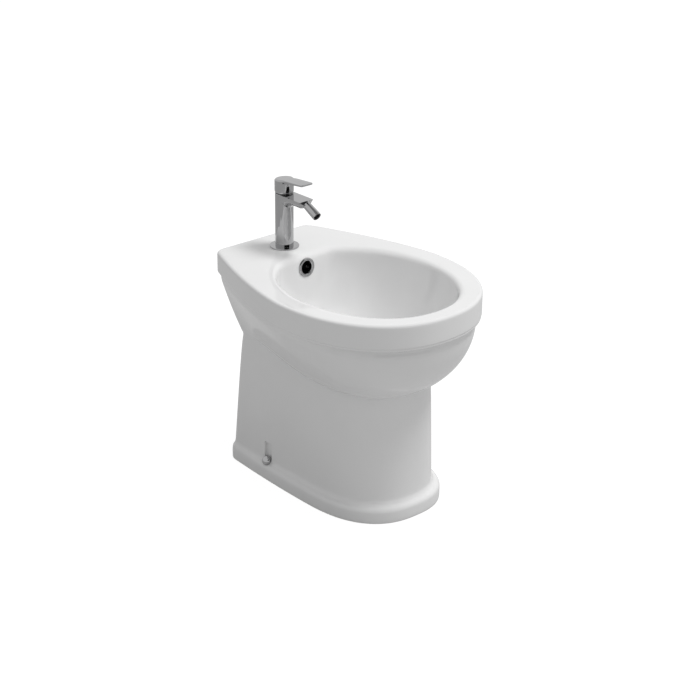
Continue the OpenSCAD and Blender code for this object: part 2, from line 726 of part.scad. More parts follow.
module nozzle_ball_stud() {
    color(chrome) nozzle_frame() difference() {
        union() {
            translate([0, 0, -stud_thread_l + 0.3]) cylinder(r = stud_thread_r, h = stud_thread_l - 0.3);
            cylinder(r = neck_r, h = ball_z);
            translate([0, 0, ball_z]) sphere(r = ball_r);
        }
        translate([0, 0, -stud_thread_l - 1])
            cylinder(r = nozzle_bore_r, h = stud_thread_l + ball_z + ball_r + 2);
    }
}
module nozzle_collar() {
    color(dark_plastic) nozzle_frame() ring_piece(5.2, neck_r + running, 0.2, 0.2 + collar_t);
}
module nozzle_seat_ring() {
    color(white_plastic) nozzle_frame() difference() {
        translate([0, 0, ball_z + 1]) cylinder(r = nozzle_inner_r - assembled, h = 6);
        translate([0, 0, ball_z]) sphere(r = ball_seat_r);
        translate([0, 0, ball_z]) cylinder(r = 3, h = 10);
    }
}
module nozzle_housing() {
    color(chrome) nozzle_frame() difference() {
        turned([
            [0, nozzle_start], [nozzle_root_r - 1, nozzle_start], [nozzle_root_r, nozzle_start + 1],
            [nozzle_d / 2, nozzle_end - 8], [nozzle_d / 2, nozzle_end - 0.4],
            [nozzle_d / 2 - 0.4, nozzle_end], [0, nozzle_end]
        ]);
        translate([0, 0, ball_z]) sphere(r = ball_seat_r);
        translate([0, 0, nozzle_start - 1]) cylinder(r = lip_r, h = ball_z - nozzle_start + 1);
        translate([0, 0, ball_z + 0.9]) cylinder(r = nozzle_inner_r, h = nozzle_l);
        translate([0, 0, aerator_z]) cylinder(r = aerator_r, h = 20);
    }
}
module nozzle_seal() {
    color(black_rubber) nozzle_frame()
        ring_piece(aerator_r - assembled, aerator_r - 2, aerator_z + 0.02, aerator_z + 1.2);
}
module aerator_insert() {
    hole_pitch = 2.6;
    color(dark_plastic) nozzle_frame() difference() {
        translate([0, 0, aerator_z + 1.25]) cylinder(r = aerator_r - assembled, h = 6.4);
        translate([0, 0, aerator_z + 4.5]) cylinder(r = aerator_r - 1.2, h = 10);
        for (a = [0:60:300]) rotate([0, 0, a]) translate([hole_pitch, 0, aerator_z])
            cylinder(r = 0.8, h = 10, $fn = 24);
        translate([0, 0, aerator_z]) cylinder(r = 0.8, h = 10, $fn = 24);
    }
}

// Fixing of the mixer under the deck
saddle_r = 24;
saddle_slot = 12.6;
rubber_t = 2;
plate_steel_t = 2.5;
stud_nut_l = 20;
module saddle(thickness, top) {
    translate([0, 0, -deck_t - top - thickness]) difference() {
        cylinder(r = saddle_r, h = thickness);
        translate([-saddle_slot, -2.5, -1]) cube([2 * saddle_slot, 2 * saddle_r, thickness + 2]);
        translate([0, stud_y, -1]) cylinder(r = stud_r + 0.3, h = thickness + 2);
    }
}
module tap_stud() {
    color(steel) tap_frame() translate([0, stud_y, stud_in - spigot_drop - 0.5 - stud_l])
        cylinder(r = stud_r, h = stud_l);
}
module tap_rubber_saddle() {
    color(black_rubber) tap_frame() saddle(rubber_t, 0.02);
}
module tap_steel_saddle() {
    color(steel) tap_frame() saddle(plate_steel_t, rubber_t + 0.05);
}
module tap_stud_nut() {
    top = -deck_t - rubber_t - plate_steel_t - 0.1;
    color(brass) tap_frame() translate([0, stud_y, top - stud_nut_l]) difference() {
        cylinder(r = 7.5, h = stud_nut_l, $fn = 6);
        translate([0, 0, -1]) cylinder(r = stud_r + assembled, h = stud_nut_l + 2);
    }
}

// Waste: every height is above the basin floor, and y is from the drain
module waste_frame() {
    translate([0, drain_y, basin_floor]) children();
}
pipe_r = waste_pipe_d / 2;
pipe_bore_r = pipe_r - 2.6;
upper_seal_t = 1;
flange_t = 2.6;
flange_r = waste_flange_d / 2;
boss_under = boss_bottom - basin_floor;
lower_seal_t = 6;
back_nut_t = 10;
back_nut_r = pipe_r + 11;
tail_l = 25;
tail_relief = 1;
shank_r = pipe_r - tail_relief;
slot_w = 14;
slot_l = 30;
slot_h = 18;
slot_z = -34;
spider_top = -10;
spider_t = 4;
latch_r = 6.5;
latch_bottom = -30;
latch_top = -4;
spindle_r = 2.6;
plug_lift = plug_travel + 4;
cap_r = cap_d / 2;
cap_edge_t = 1.6;
cap_dome = 4;

module waste_upper_seal() {
    color(black_rubber) waste_frame() ring_piece(flange_r - 1.5, shank_r + assembled, 0.02, upper_seal_t);
}
module waste_body() {
    top = upper_seal_t + 0.05;
    color(chrome) waste_frame() difference() {
        union() {
            turned([
                [pipe_bore_r, -waste_l], [pipe_r, -waste_l], [pipe_r, tail_l - waste_l],
                [shank_r, tail_l - waste_l], [shank_r, top], [flange_r, top], [flange_r, top + 0.8],
                [flange_r - 2, top + 0.8 * flange_t], [pipe_r + 3, top + 0.5 * flange_t],
                [pipe_bore_r, top - 0.2]
            ]);
            for (a = [0:120:240]) rotate([0, 0, a + 30])
                translate([latch_r, -1.5, spider_top - spider_t]) cube([pipe_r - 2 - latch_r, 3, spider_t]);
            ring_piece(latch_r + 2.2, latch_r + assembled, spider_top - spider_t, spider_top);
        }
        for (side = [-1, 1]) translate([side > 0 ? 0 : -slot_l, -slot_w / 2, slot_z])
            cube([slot_l, slot_w, slot_h]);
        translate([-slot_w / 2, 0, slot_z]) cube([slot_w, slot_l, slot_h]);
    }
}
module waste_lower_seal() {
    color(black_rubber) waste_frame()
        ring_piece(back_nut_r - 1, shank_r + assembled, boss_under - lower_seal_t, boss_under - 0.02);
}
module waste_back_nut() {
    top = boss_under - lower_seal_t - 0.05;
    color(brass) waste_frame() difference() {
        union() {
            translate([0, 0, top - back_nut_t]) cylinder(r = back_nut_r, h = back_nut_t, $fn = 6);
            translate([0, 0, top - 2]) cylinder(r = back_nut_r, h = 2);
        }
        translate([0, 0, top - back_nut_t - 1]) cylinder(r = shank_r + 0.3, h = back_nut_t + 2);
    }
}
module plug_latch() {
    color(dark_plastic) waste_frame() difference() {
        union() {
            translate([0, 0, latch_bottom]) cylinder(r = latch_r, h = latch_top - latch_bottom);
            translate([0, 0, spider_top + 0.05]) cylinder(r = latch_r + 1.6, h = 2);
        }
        translate([0, 0, latch_bottom + 1.5])
            cylinder(r = latch_r - 1.4, h = latch_top - latch_bottom - 3.5);
        translate([0, 0, latch_bottom + 5]) cylinder(r = spindle_r + running, h = 40);
    }
}
spring_bottom = latch_bottom + 1.6;
spring_top = spring_bottom + 2 * plug_travel;
foot_flange_t = 1.6;
module plug_spindle() {
    color(steel) waste_frame() {
        difference() {
            union() {
                translate([0, 0, spring_top + 0.1])
                    cylinder(r = spindle_r, h = plug_lift - spring_top + 1.5);
                translate([0, 0, spring_top + 0.1])
                    cylinder(r = latch_r - 1.4 - sliding, h = foot_flange_t);
            }
            translate([0, 0, plug_lift - 4]) cylinder(r = 0.8, h = 10, $fn = 24);
        }
    }
}
module plug_cap() {
    base = plug_lift;
    rim = base + 1.2;
    color(chrome) waste_frame() difference() {
        turned(concat(
            [[0, base], [cap_r - 8, base], [cap_r - 7, rim], [cap_r, rim]],
            [for (k = [10:-2:0]) [cap_r * k / 10, rim + cap_edge_t + cap_dome * (1 - pow(k / 10, 2))]]
        ));
        translate([0, 0, base - 1]) cylinder(r = spindle_r + assembled, h = 2.7);
    }
}
module plug_seal() {
    color(black_rubber) waste_frame()
        ring_piece(cap_r - 3, cap_r - 7 + assembled, plug_lift - 1, plug_lift + 1.15);
}
// Coil of the plug's spring
spring_turns = 5;
spring_steps = 18;
spring_wire = 0.45;
spring_r = 4.1;
module plug_spring() {
    steps = spring_turns * spring_steps;
    low = spring_bottom + spring_wire;
    high = spring_top - spring_wire;
    function spot(i, a) = let (t = 360 * i / spring_steps)
        [(spring_r + spring_wire * cos(a)) * cos(t), (spring_r + spring_wire * cos(a)) * sin(t),
            low + (high - low) * i / steps + spring_wire * sin(a)];
    function middle(i) = let (t = 360 * i / spring_steps)
        [spring_r * cos(t), spring_r * sin(t), low + (high - low) * i / steps];
    color(steel) waste_frame()
        rings_solid([for (i = [0:steps]) [for (a = [0:60:300]) spot(i, a)]], middle(0), middle(steps));
}

overflow_spigot_l = 16;
module overflow_ring() {
    spigot = overflow_bore_r - assembled;
    seat = 0.05 - overflow_spot;
    color(chrome) overflow_frame() difference() {
        turned([
            [overflow_hole / 2, -overflow_spigot_l], [spigot, -overflow_spigot_l], [spigot, seat],
            [overflow_d / 2, seat], [overflow_d / 2, -0.3], [overflow_d / 2 - 1.4, 0.9],
            [overflow_hole / 2 + 1, 0.9], [overflow_hole / 2, 0]
        ]);
    }
}

// Floor fixings
bracket_l = 28;
bracket_w = 30;
bracket_h = 36;
bracket_foot_l = 34;
bracket_foot_t = 8;
bracket_gap = 1;
bracket_hole_r = 3.5;
bracket_hole_x = 45;
bracket_outer = foot_w / 2 - 4 - wall_t - 2 - bracket_gap;
washer_t = 3;
washer_r = 7.6;
screw_l = 44;
screw_head_r = 5.2;
screw_head_t = 3.6;
cap_wall = 0.8;

module fixing_brackets() {
    color(white_plastic) difference() {
        union() {
            for (side = [-1, 1])
                translate([side * (bracket_outer - bracket_l / 2), fixing_back, bracket_h / 2])
                    cube([bracket_l, bracket_w, bracket_h], center = true);
            for (side = [-1, 1]) translate([side * bracket_hole_x, fixing_back, bracket_foot_t / 2])
                cube([bracket_foot_l, bracket_w, bracket_foot_t], center = true);
        }
        both_fixings() translate([0, 0, -60]) cylinder(r = fixing_screw_d / 2 + assembled, h = 60);
        for (side = [-1, 1]) translate([side * bracket_hole_x, fixing_back, -1])
            cylinder(r = bracket_hole_r, h = bracket_foot_t + 2);
    }
}
module fixing_screws() {
    color(steel) both_fixings() difference() {
        union() {
            translate([0, 0, washer_t + 0.05 - screw_l]) cylinder(d = fixing_screw_d, h = screw_l);
            translate([0, 0, washer_t + 0.05]) cylinder(r = screw_head_r, h = screw_head_t);
        }
        translate([0, 0, washer_t + screw_head_t - 1.5]) cylinder(r = 2.4, h = 4, $fn = 6);
    }
}
module fixing_washers() {
    color(white_plastic) both_fixings() ring_piece(washer_r, fixing_screw_d / 2 + 0.2, 0.02, washer_t);
}
module fixing_caps() {
    r = fixing_cap_d / 2;
    color(chrome) both_fixings() difference() {
        turned([
            [0, 0.05], [r, 0.05], [r, 3.4], [r * 0.94, 5.6], [r * 0.8, 7.3], [r * 0.6, 8.6],
            [r * 0.36, 9.4], [0, 9.8]
        ]);
        translate([0, 0, -1]) cylinder(r = washer_r + 0.15, h = 1 + washer_t + 0.6);
        translate([0, 0, 0]) cylinder(r = screw_head_r + 0.3, h = washer_t + screw_head_t + 0.6);
    }
}

ceramic_body();
tap_base_seal();
tap_base_ring();
tap_body();
cartridge_seals();
cartridge_case();
fixed_disc();
moving_disc();
spindle_carrier();
cartridge_nut();
glide_ring();
lever_pivot_pin();
lever_stem();
lever_handle();
lever_grub_screw();
lever_plug();
nozzle_ball_stud();
nozzle_collar();
nozzle_seat_ring();
nozzle_housing();
nozzle_seal();
aerator_insert();
tap_stud();
tap_rubber_saddle();
tap_steel_saddle();
tap_stud_nut();
waste_body();
waste_upper_seal();
waste_lower_seal();
waste_back_nut();
plug_latch();
plug_spindle();
plug_cap();
plug_seal();
plug_spring();
overflow_ring();
fixing_brackets();
fixing_screws();
fixing_washers();
fixing_caps();
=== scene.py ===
"""Looks of a floor standing bidet with a single-lever mixer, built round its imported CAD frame."""

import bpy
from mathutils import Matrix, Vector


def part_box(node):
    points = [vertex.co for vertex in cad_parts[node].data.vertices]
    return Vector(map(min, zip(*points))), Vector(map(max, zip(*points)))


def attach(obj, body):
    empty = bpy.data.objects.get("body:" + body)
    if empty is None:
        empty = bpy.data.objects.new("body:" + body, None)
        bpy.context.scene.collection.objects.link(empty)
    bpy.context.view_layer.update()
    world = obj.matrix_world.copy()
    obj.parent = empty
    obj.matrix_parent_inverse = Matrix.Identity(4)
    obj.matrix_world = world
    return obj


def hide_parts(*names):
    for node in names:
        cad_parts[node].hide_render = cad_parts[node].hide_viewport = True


bl_info = {
    "name": "Floor standing bidet",
    "version": (1, 0, 0),
    "blender": (4, 5, 0),
    "location": "View3D > Sidebar > Bidet",
    "description": "Glazed ceramic, chrome mixer, waste and fixings of a floor standing bidet",
    "category": "Object",
}

import math

import bpy
import numpy as np
from bpy.props import FloatProperty, FloatVectorProperty, PointerProperty
from mathutils import Matrix, Vector

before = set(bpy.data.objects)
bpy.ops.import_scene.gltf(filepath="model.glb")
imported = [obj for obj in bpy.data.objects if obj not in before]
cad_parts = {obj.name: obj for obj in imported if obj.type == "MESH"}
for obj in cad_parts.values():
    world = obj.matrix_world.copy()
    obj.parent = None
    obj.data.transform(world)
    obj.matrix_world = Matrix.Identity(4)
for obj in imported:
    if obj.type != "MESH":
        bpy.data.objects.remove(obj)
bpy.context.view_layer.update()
MM = 0.001


def middle_y(node):
    """Middle of a node's box along y, in millimetres."""
    low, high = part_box(node)
    return (low[1] + high[1]) / 2 / MM


TAP_Y = middle_y("tap_base_ring")


# ---------------------------------------------------------------- sizes and colours


def length(name, text, value):
    """A size in millimetres that a user may change."""
    return FloatProperty(name=name, description=text, default=value, unit="NONE")


def slope(name, text, degrees):
    """An angle that a user may change."""
    return FloatProperty(name=name, description=text, default=math.radians(degrees), subtype="ANGLE")


def colour(name, text, value):
    """A finish's own colour."""
    return FloatVectorProperty(
        name=name, description=text, default=value, subtype="COLOR", size=3, min=0, max=1
    )


class BidetCasting(bpy.types.PropertyGroup):
    """Sizes of the ceramic casting, in millimetres"""

    rim_h: length("Deck height", "Height of the deck above the floor", 400)
    rim_l: length("Rim length", "Length of the rim from the wall edge to the front", 490)
    rim_w: length("Rim width", "Greatest width of the rim", 366)
    rim_back_w: length("Wall edge", "Width of the straight edge at the wall", 212)
    rim_corner: length("Corner", "Rounding of the two corners at the wall", 14)
    band_h: length("Band", "Height of the upright band round the rim", 42)
    edge_r: length("Band edge", "Radius of the band's top edge", 5)
    cove_in: length("Cove", "Step in under the band", 9)
    cove_h: length("Cove height", "Height of the cove under the band", 12)
    deck_t: length("Deck thickness", "Thickness of the deck", 14)
    basin_half_w: length("Basin half width", "Half width of the basin opening", 137)
    basin_half_l: length("Basin half length", "Half length of the basin opening", 172)
    basin_forward: length("Basin forward", "Opening's centre, in front of the middle", 37)
    basin_depth: length("Basin depth", "Depth of the basin below the deck", 150)
    roll_r: length("Roll", "Radius of the rolled edge of the opening", 10)
    seat_r: length("Drain flat", "Radius of the flat round the drain", 38)
    drain_forward: length("Drain forward", "Drain's centre, in front of the middle", 20)
    drain_r: length("Drain", "Radius of the drain hole", 23)
    wall_t: length("Wall", "Thickness of the fired clay", 11)
    waist_h: length("Waist", "Height of the waist line at the front", 232)
    waist_rise: length("Waist rise", "Rise of the waist line towards the wall", 26)
    waist_w: length("Waist width", "Width of the pedestal at the waist", 198)
    waist_rear: length("Waist rear", "Rear face at the waist", 186)
    waist_front: length("Waist front", "Front of the waist", 160)
    foot_w: length("Foot width", "Width of the pedestal on the plinth", 210)
    foot_rear: length("Foot rear", "Rear face of the pedestal on the plinth", 209)
    foot_front: length("Foot front", "Front of the pedestal on the plinth", 164)
    plinth_h: length("Plinth", "Height of the plinth", 29)
    plinth_w: length("Plinth width", "Width of the plinth", 238)
    plinth_rear: length("Plinth rear", "Rear face of the plinth", 216)
    plinth_front: length("Plinth front", "Front of the plinth", 178)
    plinth_r: length("Plinth edge", "Radius of the plinth's top edge", 9)
    service_w: length("Service width", "Width of the arch in the back", 150)
    service_h: length("Service height", "Height of the arch in the back", 281)


class BidetMixer(bpy.types.PropertyGroup):
    """Sizes of the mixer and the chrome trim, in millimetres"""

    column_r: length("Column", "Radius of the column", 16.5)
    column_h: length("Column height", "Height of the column above the deck", 101)
    plate_r: length("Plate", "Radius of the plate on the deck", 26.5)
    plate_t: length("Plate thickness", "Thickness of the plate on the deck", 2.5)
    spout_w: length("Spout width", "Width of the spout", 31)
    spout_t: length("Spout depth", "Depth of the spout", 15)
    spout_reach: length("Spout reach", "Nozzle's root from the tap's axis", 58)
    nozzle_slope: slope("Nozzle slope", "Slope of the nozzle below level", 27)
    nozzle_l: length("Nozzle length", "Length of the nozzle", 32.5)
    nozzle_r: length("Nozzle radius", "Radius of the nozzle's end", 8)
    lever_reach: length("Lever reach", "Lever's tip from the tap's axis", 64)
    lever_w: length("Lever width", "Width of the lever", 26.6)
    lever_tip_t: length("Lever thickness", "Thickness of the lever's tip", 3)
    lever_root_t: length("Lever root", "Thickness of the lever at the hub", 4.4)
    lever_rise: slope("Lever rise", "Rise of the lever to its tip", 4.3)
    hub_h: length("Hub height", "Height of the hub on the tap's axis", 25)
    hub_gap: length("Hub gap", "Gap between column and hub", 1.5)
    overflow_r: length("Overflow ring", "Outside radius of the overflow ring", 17.5)
    overflow_hole: length("Overflow hole", "Radius of the overflow ring's hole", 11.5)
    cap_r: length("Plug", "Radius of the plug's cap", 30)
    fixing_r: length("Fixing cap", "Radius of the floor fixing's cap", 9)


class BidetFinish(bpy.types.PropertyGroup):
    """Colours of the finishes"""

    glaze: colour("Glaze", "White glaze", (0.86, 0.86, 0.86))
    biscuit: colour("Biscuit", "Unglazed clay of the foot", (0.66, 0.62, 0.56))
    chrome: colour("Chrome", "Polished chrome", (0.45, 0.45, 0.455))
    steel: colour("Steel", "Stainless steel", (0.50, 0.49, 0.48))
    brass: colour("Brass", "Raw brass", (0.72, 0.50, 0.22))
    rubber: colour("Rubber", "Black rubber", (0.018, 0.018, 0.019))
    plastic_dark: colour("Dark plastic", "Dark moulded plastic", (0.03, 0.03, 0.033))
    plastic_grey: colour("Grey plastic", "Grey moulded plastic", (0.22, 0.22, 0.23))
    plastic_white: colour("White plastic", "White moulded plastic", (0.72, 0.72, 0.70))
    disc: colour("Disc ceramic", "Ground ceramic of the discs", (0.74, 0.72, 0.66))


def casting():
    """Sizes of the casting."""
    return bpy.context.scene.bidet_casting


def mixer():
    """Sizes of the mixer and the trim."""
    return bpy.context.scene.bidet_mixer


def finish_colours():
    """Colours of the finishes."""
    return bpy.context.scene.bidet_finish


# ---------------------------------------------------------------- meshes


def new_piece(name, points, faces, finish, body, replaces, sharp):
    """A piece at the origin from points in millimetres."""
    mesh = bpy.data.meshes.new(name)
    metres = (np.asarray(points) * MM).astype(np.float32)
    mesh.from_pydata(metres.tolist(), [], [list(map(int, f)) for f in faces])
    return finish_piece(name, mesh, finish, body, replaces, sharp)


def finish_piece(name, mesh, finish, body, replaces, sharp):
    """Puts a mesh on its body, with smooth faces, edges sharp over an angle in degrees, its finish and the
    node whose place it takes."""
    mesh.validate()
    mesh.update()
    smooth_by_angle(mesh, sharp)
    piece = bpy.data.objects.new(name, mesh)
    bpy.context.scene.collection.objects.link(piece)
    mesh.materials.clear()
    mesh.materials.append(finish)
    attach(piece, body)
    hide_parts(replaces)
    return piece


def smooth_by_angle(mesh, degrees):
    """Every face smooth, and an edge sharp where its two faces turn by more than the angle."""
    mesh.polygons.foreach_set("use_smooth", np.ones(len(mesh.polygons), bool))
    normals = np.empty(len(mesh.polygons) * 3, np.float32)
    mesh.polygons.foreach_get("normal", normals)
    normals = normals.reshape(-1, 3)
    loops = len(mesh.loops)
    edge_of = np.empty(loops, np.int32)
    mesh.loops.foreach_get("edge_index", edge_of)
    counts = np.empty(len(mesh.polygons), np.int32)
    mesh.polygons.foreach_get("loop_total", counts)
    face_of = np.repeat(np.arange(len(counts)), counts)
    order = np.argsort(edge_of, kind="stable")
    edges, faces = edge_of[order], face_of[order]
    pair = np.flatnonzero(edges[:-1] == edges[1:])
    turn = (normals[faces[pair]] * normals[faces[pair + 1]]).sum(1)
    sharp = np.zeros(len(mesh.edges), bool)
    sharp[edges[pair[turn < math.cos(math.radians(degrees))]]] = True
    attribute = mesh.attributes.get("sharp_edge") or mesh.attributes.new("sharp_edge", "BOOLEAN", "EDGE")
    attribute.data.foreach_set("value", sharp)


def quads(rows, columns, wrap_rows=False):
    """Faces of a grid of rows whose columns close on themselves."""
    first = np.arange(rows if wrap_rows else rows - 1)
    a, b = np.meshgrid(first, np.arange(columns), indexing="ij")
    a2, b2 = (a + 1) % rows, (b + 1) % columns
    corners = [a * columns + b, a * columns + b2, a2 * columns + b2, a2 * columns + b]
    return np.stack(corners, -1).reshape(-1, 4).tolist()


def fan(centre, ring, outward):
    """Triangles between one point and a closed ring of points."""
    after = np.roll(ring, -1)
    middle = np.full(len(ring), centre)
    return np.stack([middle, after, ring] if outward else [middle, ring, after], -1).tolist()


def lofted(rings, start=None, end=None):
    """Points and faces of rings (rows, columns, 3) joined one to the next, with a point closing each end.
    Without end points the last row joins the first."""
    rows, columns = rings.shape[:2]
    points = rings.reshape(-1, 3)
    if start is None:
        return points, quads(rows, columns, wrap_rows=True)
    count = rows * columns
    first_ring = np.arange(columns)
    faces = [face[::-1] for face in quads(rows, columns)]
    faces += fan(count, first_ring, False)
    faces += fan(count + 1, first_ring + count - columns, True)
    return np.vstack([points, [start], [end]]), faces


def rounded(corners, radii, steps=6):
    """A closed polygon with each corner replaced by an arc: the corner moves along both sides by
    r / tan(half the angle) and the arc between is a circle, written as equal turns of its end normals."""
    tiny = 1e-9
    p = np.asarray(corners, float)
    r = np.broadcast_to(np.asarray(radii, float), len(p))
    before, after = np.roll(p, 1, 0) - p, np.roll(p, -1, 0) - p
    before_l, after_l = np.linalg.norm(before, axis=1), np.linalg.norm(after, axis=1)
    before, after = before / before_l[:, None], after / after_l[:, None]
    half = np.arccos(np.clip((before * after).sum(1), -1, 1)) / 2
    cut = np.minimum(r / np.tan(np.maximum(half, 1e-3)), 0.49 * np.minimum(before_l, after_l))
    r = cut * np.tan(half)
    bisect = before + after
    bisect = bisect / np.maximum(np.linalg.norm(bisect, axis=1), tiny)[:, None]
    centre = p + bisect * (r / np.maximum(np.sin(half), tiny))[:, None]
    t = np.linspace(0, 1, steps + 1)[None, :, None]
    turn = (np.pi - 2 * half)[:, None, None]
    from_c = (p + before * cut[:, None] - centre)[:, None]
    to_c = (p + after * cut[:, None] - centre)[:, None]
    arc = (np.sin((1 - t) * turn) * from_c + np.sin(t * turn) * to_c) / np.maximum(np.sin(turn), tiny)
    plain = cut <= 1e-6
    arc = np.where(plain[:, None, None], p[:, None], centre[:, None] + arc)
    keep = np.ones(arc.shape[:2], bool)
    keep[plain, 1:] = False
    return arc[keep]


def revolved(profile, turns=96):
    """Points and faces of a closed profile of (radius, height) carried round the z axis. Points on the axis
    close the piece there."""
    on_axis = 1e-6
    p = np.asarray(profile, float)
    area = (p[:, 0] * np.roll(p[:, 1], -1) - np.roll(p[:, 0], -1) * p[:, 1]).sum()
    if area < 0:
        p = p[::-1]
    angle = np.linspace(0, 2 * np.pi, turns, endpoint=False)

    def rings(q):
        """One ring for each profile point."""
        x, y = q[:, :1] * np.cos(angle), q[:, :1] * np.sin(angle)
        return np.stack([x, y, np.repeat(q[:, 1:], turns, 1)], -1)

    axis = p[:, 0] < on_axis
    if not axis.any():
        points, faces = lofted(rings(p))
        return points, [face[::-1] for face in faces]
    first = np.flatnonzero(axis & ~np.roll(axis, -1))[0]
    p = np.roll(p, -first, 0)
    body = p[p[:, 0] > on_axis]
    count = len(body) * turns
    first_ring = np.arange(turns)
    faces = quads(len(body), turns)
    faces += fan(count, first_ring, True)
    faces += fan(count + 1, first_ring + count - turns, False)
    return np.vstack([rings(body).reshape(-1, 3), [[0, 0, p[0, 1]], [0, 0, p[-1, 1]]]]), faces


def signed_volume(points, faces):
    """Volume inside the faces: a sixth of the sum of the triple products of their fans."""
    total = 0.0
    for size in (3, 4):
        group = np.array([face for face in faces if len(face) == size])
        if not len(group):
            continue
        for k in range(1, size - 1):
            a, b, c = (points[group[:, i]] for i in (0, k, k + 1))
            total += (a * np.cross(b, c)).sum() / 6
    return total


def outward(points, faces):
    """The same faces, turned if they face inwards."""
    points = np.asarray(points, float)
    if signed_volume(points, faces) > 0:
        return points, faces
    return points, [face[::-1] for face in faces]


def moved(points, matrix):
    """Points moved by a 4 x 4 matrix in millimetres."""
    m = np.array(matrix)
    return np.asarray(points) @ m[:3, :3].T + m[:3, 3]


def at(matrix, shape):
    """A shape of points and faces, moved by a matrix in millimetres."""
    points, faces = shape
    return moved(points, matrix), faces


def shift(x, y, z):
    """The matrix of a move in millimetres."""
    return Matrix.Translation((x, y, z))


def turned(degrees, axis):
    """The matrix of a turn about an axis."""
    return Matrix.Rotation(math.radians(degrees), 4, axis)


def scratch(points, faces):
    """A mesh object used only as an operand."""
    points, faces = outward(points, faces)
    mesh = bpy.data.meshes.new("operand")
    mesh.from_pydata((points * MM).tolist(), [], [list(map(int, f)) for f in faces])
    mesh.update()
    piece = bpy.data.objects.new("operand", mesh)
    bpy.context.scene.collection.objects.link(piece)
    return piece


def combined(base, steps):
    """The mesh of base after each (operation, operand) in turn. The operands are removed."""
    base_object = scratch(*base)
    operands = [base_object]
    for operation, operand in steps:
        tool = scratch(*operand)
        operands.append(tool)
        change = base_object.modifiers.new("change", "BOOLEAN")
        change.operation = operation
        change.object = tool
        change.solver = "MANIFOLD"
    bpy.context.view_layer.update()
    shown = base_object.evaluated_get(bpy.context.evaluated_depsgraph_get())
    mesh = bpy.data.meshes.new_from_object(shown)
    if not len(mesh.polygons):
        raise RuntimeError("a cut left nothing of the piece")
    for piece in operands:
        old = piece.data
        bpy.data.objects.remove(piece)
        bpy.data.meshes.remove(old)
    return mesh


def block(low, high, radius, steps=4):
    """A box between two corners with rounded upright edges and flat ends."""
    (x0, y0, z0), (x1, y1, z1) = low, high
    plan = rounded([(x0, y0), (x1, y0), (x1, y1), (x0, y1)], radius, steps)
    rings = np.stack([np.column_stack([plan, np.full(len(plan), z)]) for z in (z0, z1)])
    centre = [(x0 + x1) / 2, (y0 + y1) / 2]
    return lofted(rings, centre + [z0], centre + [z1])


def tube(radius, low, high, turns=64):
    """A closed upright cylinder, used as an operand."""
    return revolved([(0, low), (radius, low), (radius, high), (0, high)], turns)


# ---------------------------------------------------------------- the casting

# y of the widest place of the rim, and of waist, foot and plinth
WIDEST = -26.0
LOWER_WIDEST = -20.0
# points of the stretches of half an outline: front quarter, side, corner and the edge at the wall
FRONT_N, SIDE_N, CORNER_N, BACK_N = 54, 40, 8, 18
# rise of the band's lower edge from front to wall
BAND_RISE = 4.0
# power of the curve by which the basin narrows
BASIN_POWER = 2.2
# lean of the basin's rear panel over the depth, and what is taken off the plinth's width at the wall
PANEL_LEAN = 14.0
PLINTH_TAPER = 12.5
# overflow duct: radius, bore, axis behind the opening's rear edge, and its floor below the basin's
DUCT_R = 16.0
DUCT_BORE = 10.0
DUCT_BEHIND = 3.0
DUCT_DROP = 25.0
# overflow ring: in front of the opening's rear edge, below the deck, and its tilt in degrees
OVERFLOW_FORWARD = 16.4
OVERFLOW_DROP = 23.2
OVERFLOW_TILT = 85
# hole through the deck under the tap's plate
TAP_HOLE_R = 17.5
# height of the boss round the drain, below the basin's floor
BOSS_H = 39.0
# floor fixing: place across and along, height over the plinth, slope of its screw in degrees, its hole
FIXING_X = 105.0
FIXING_Y = 105.0
FIXING_RISE = 3.4
FIXING_SLOPE = 50
SCREW_HOLE_R = 4.0
# notch above the fixing: half width, top and bottom over the plinth
NOTCH_HALF_W = 10.0
NOTCH_TOP = 68.0
NOTCH_RISE = 4.0
# rings kept of all that are worked out
KEPT_RINGS = 330
# the band's lower lip and the cove under it, from the band down: step in at the front and at the sides,
# and drop as a share of the height between band and bulge in twelfths
LIP_IN = (0.1, 0.6, 1.3, 1.5, 1.2, 0.9, 0.8, 1.0, 1.5, 2.4, 4.2, 6.6, 9.0, 11.0, 12.4, 13.3, 13.8, 13.9)
LIP_SIDE = (0.1, 0.7, 1.7, 2.4, 2.5, 2.4, 2.4, 2.5, 2.5, 2.6, 2.7, 2.7, 2.8, 2.8, 2.9, 2.9, 3.0, 3.1)
LIP_DROP = (-0.2, 0.1, 0.5, 1.1, 1.8, 2.6, 3.4, 4.2, 4.9, 5.5, 6.0, 6.4, 6.9, 7.6, 8.5, 9.5, 10.6, 11.6)


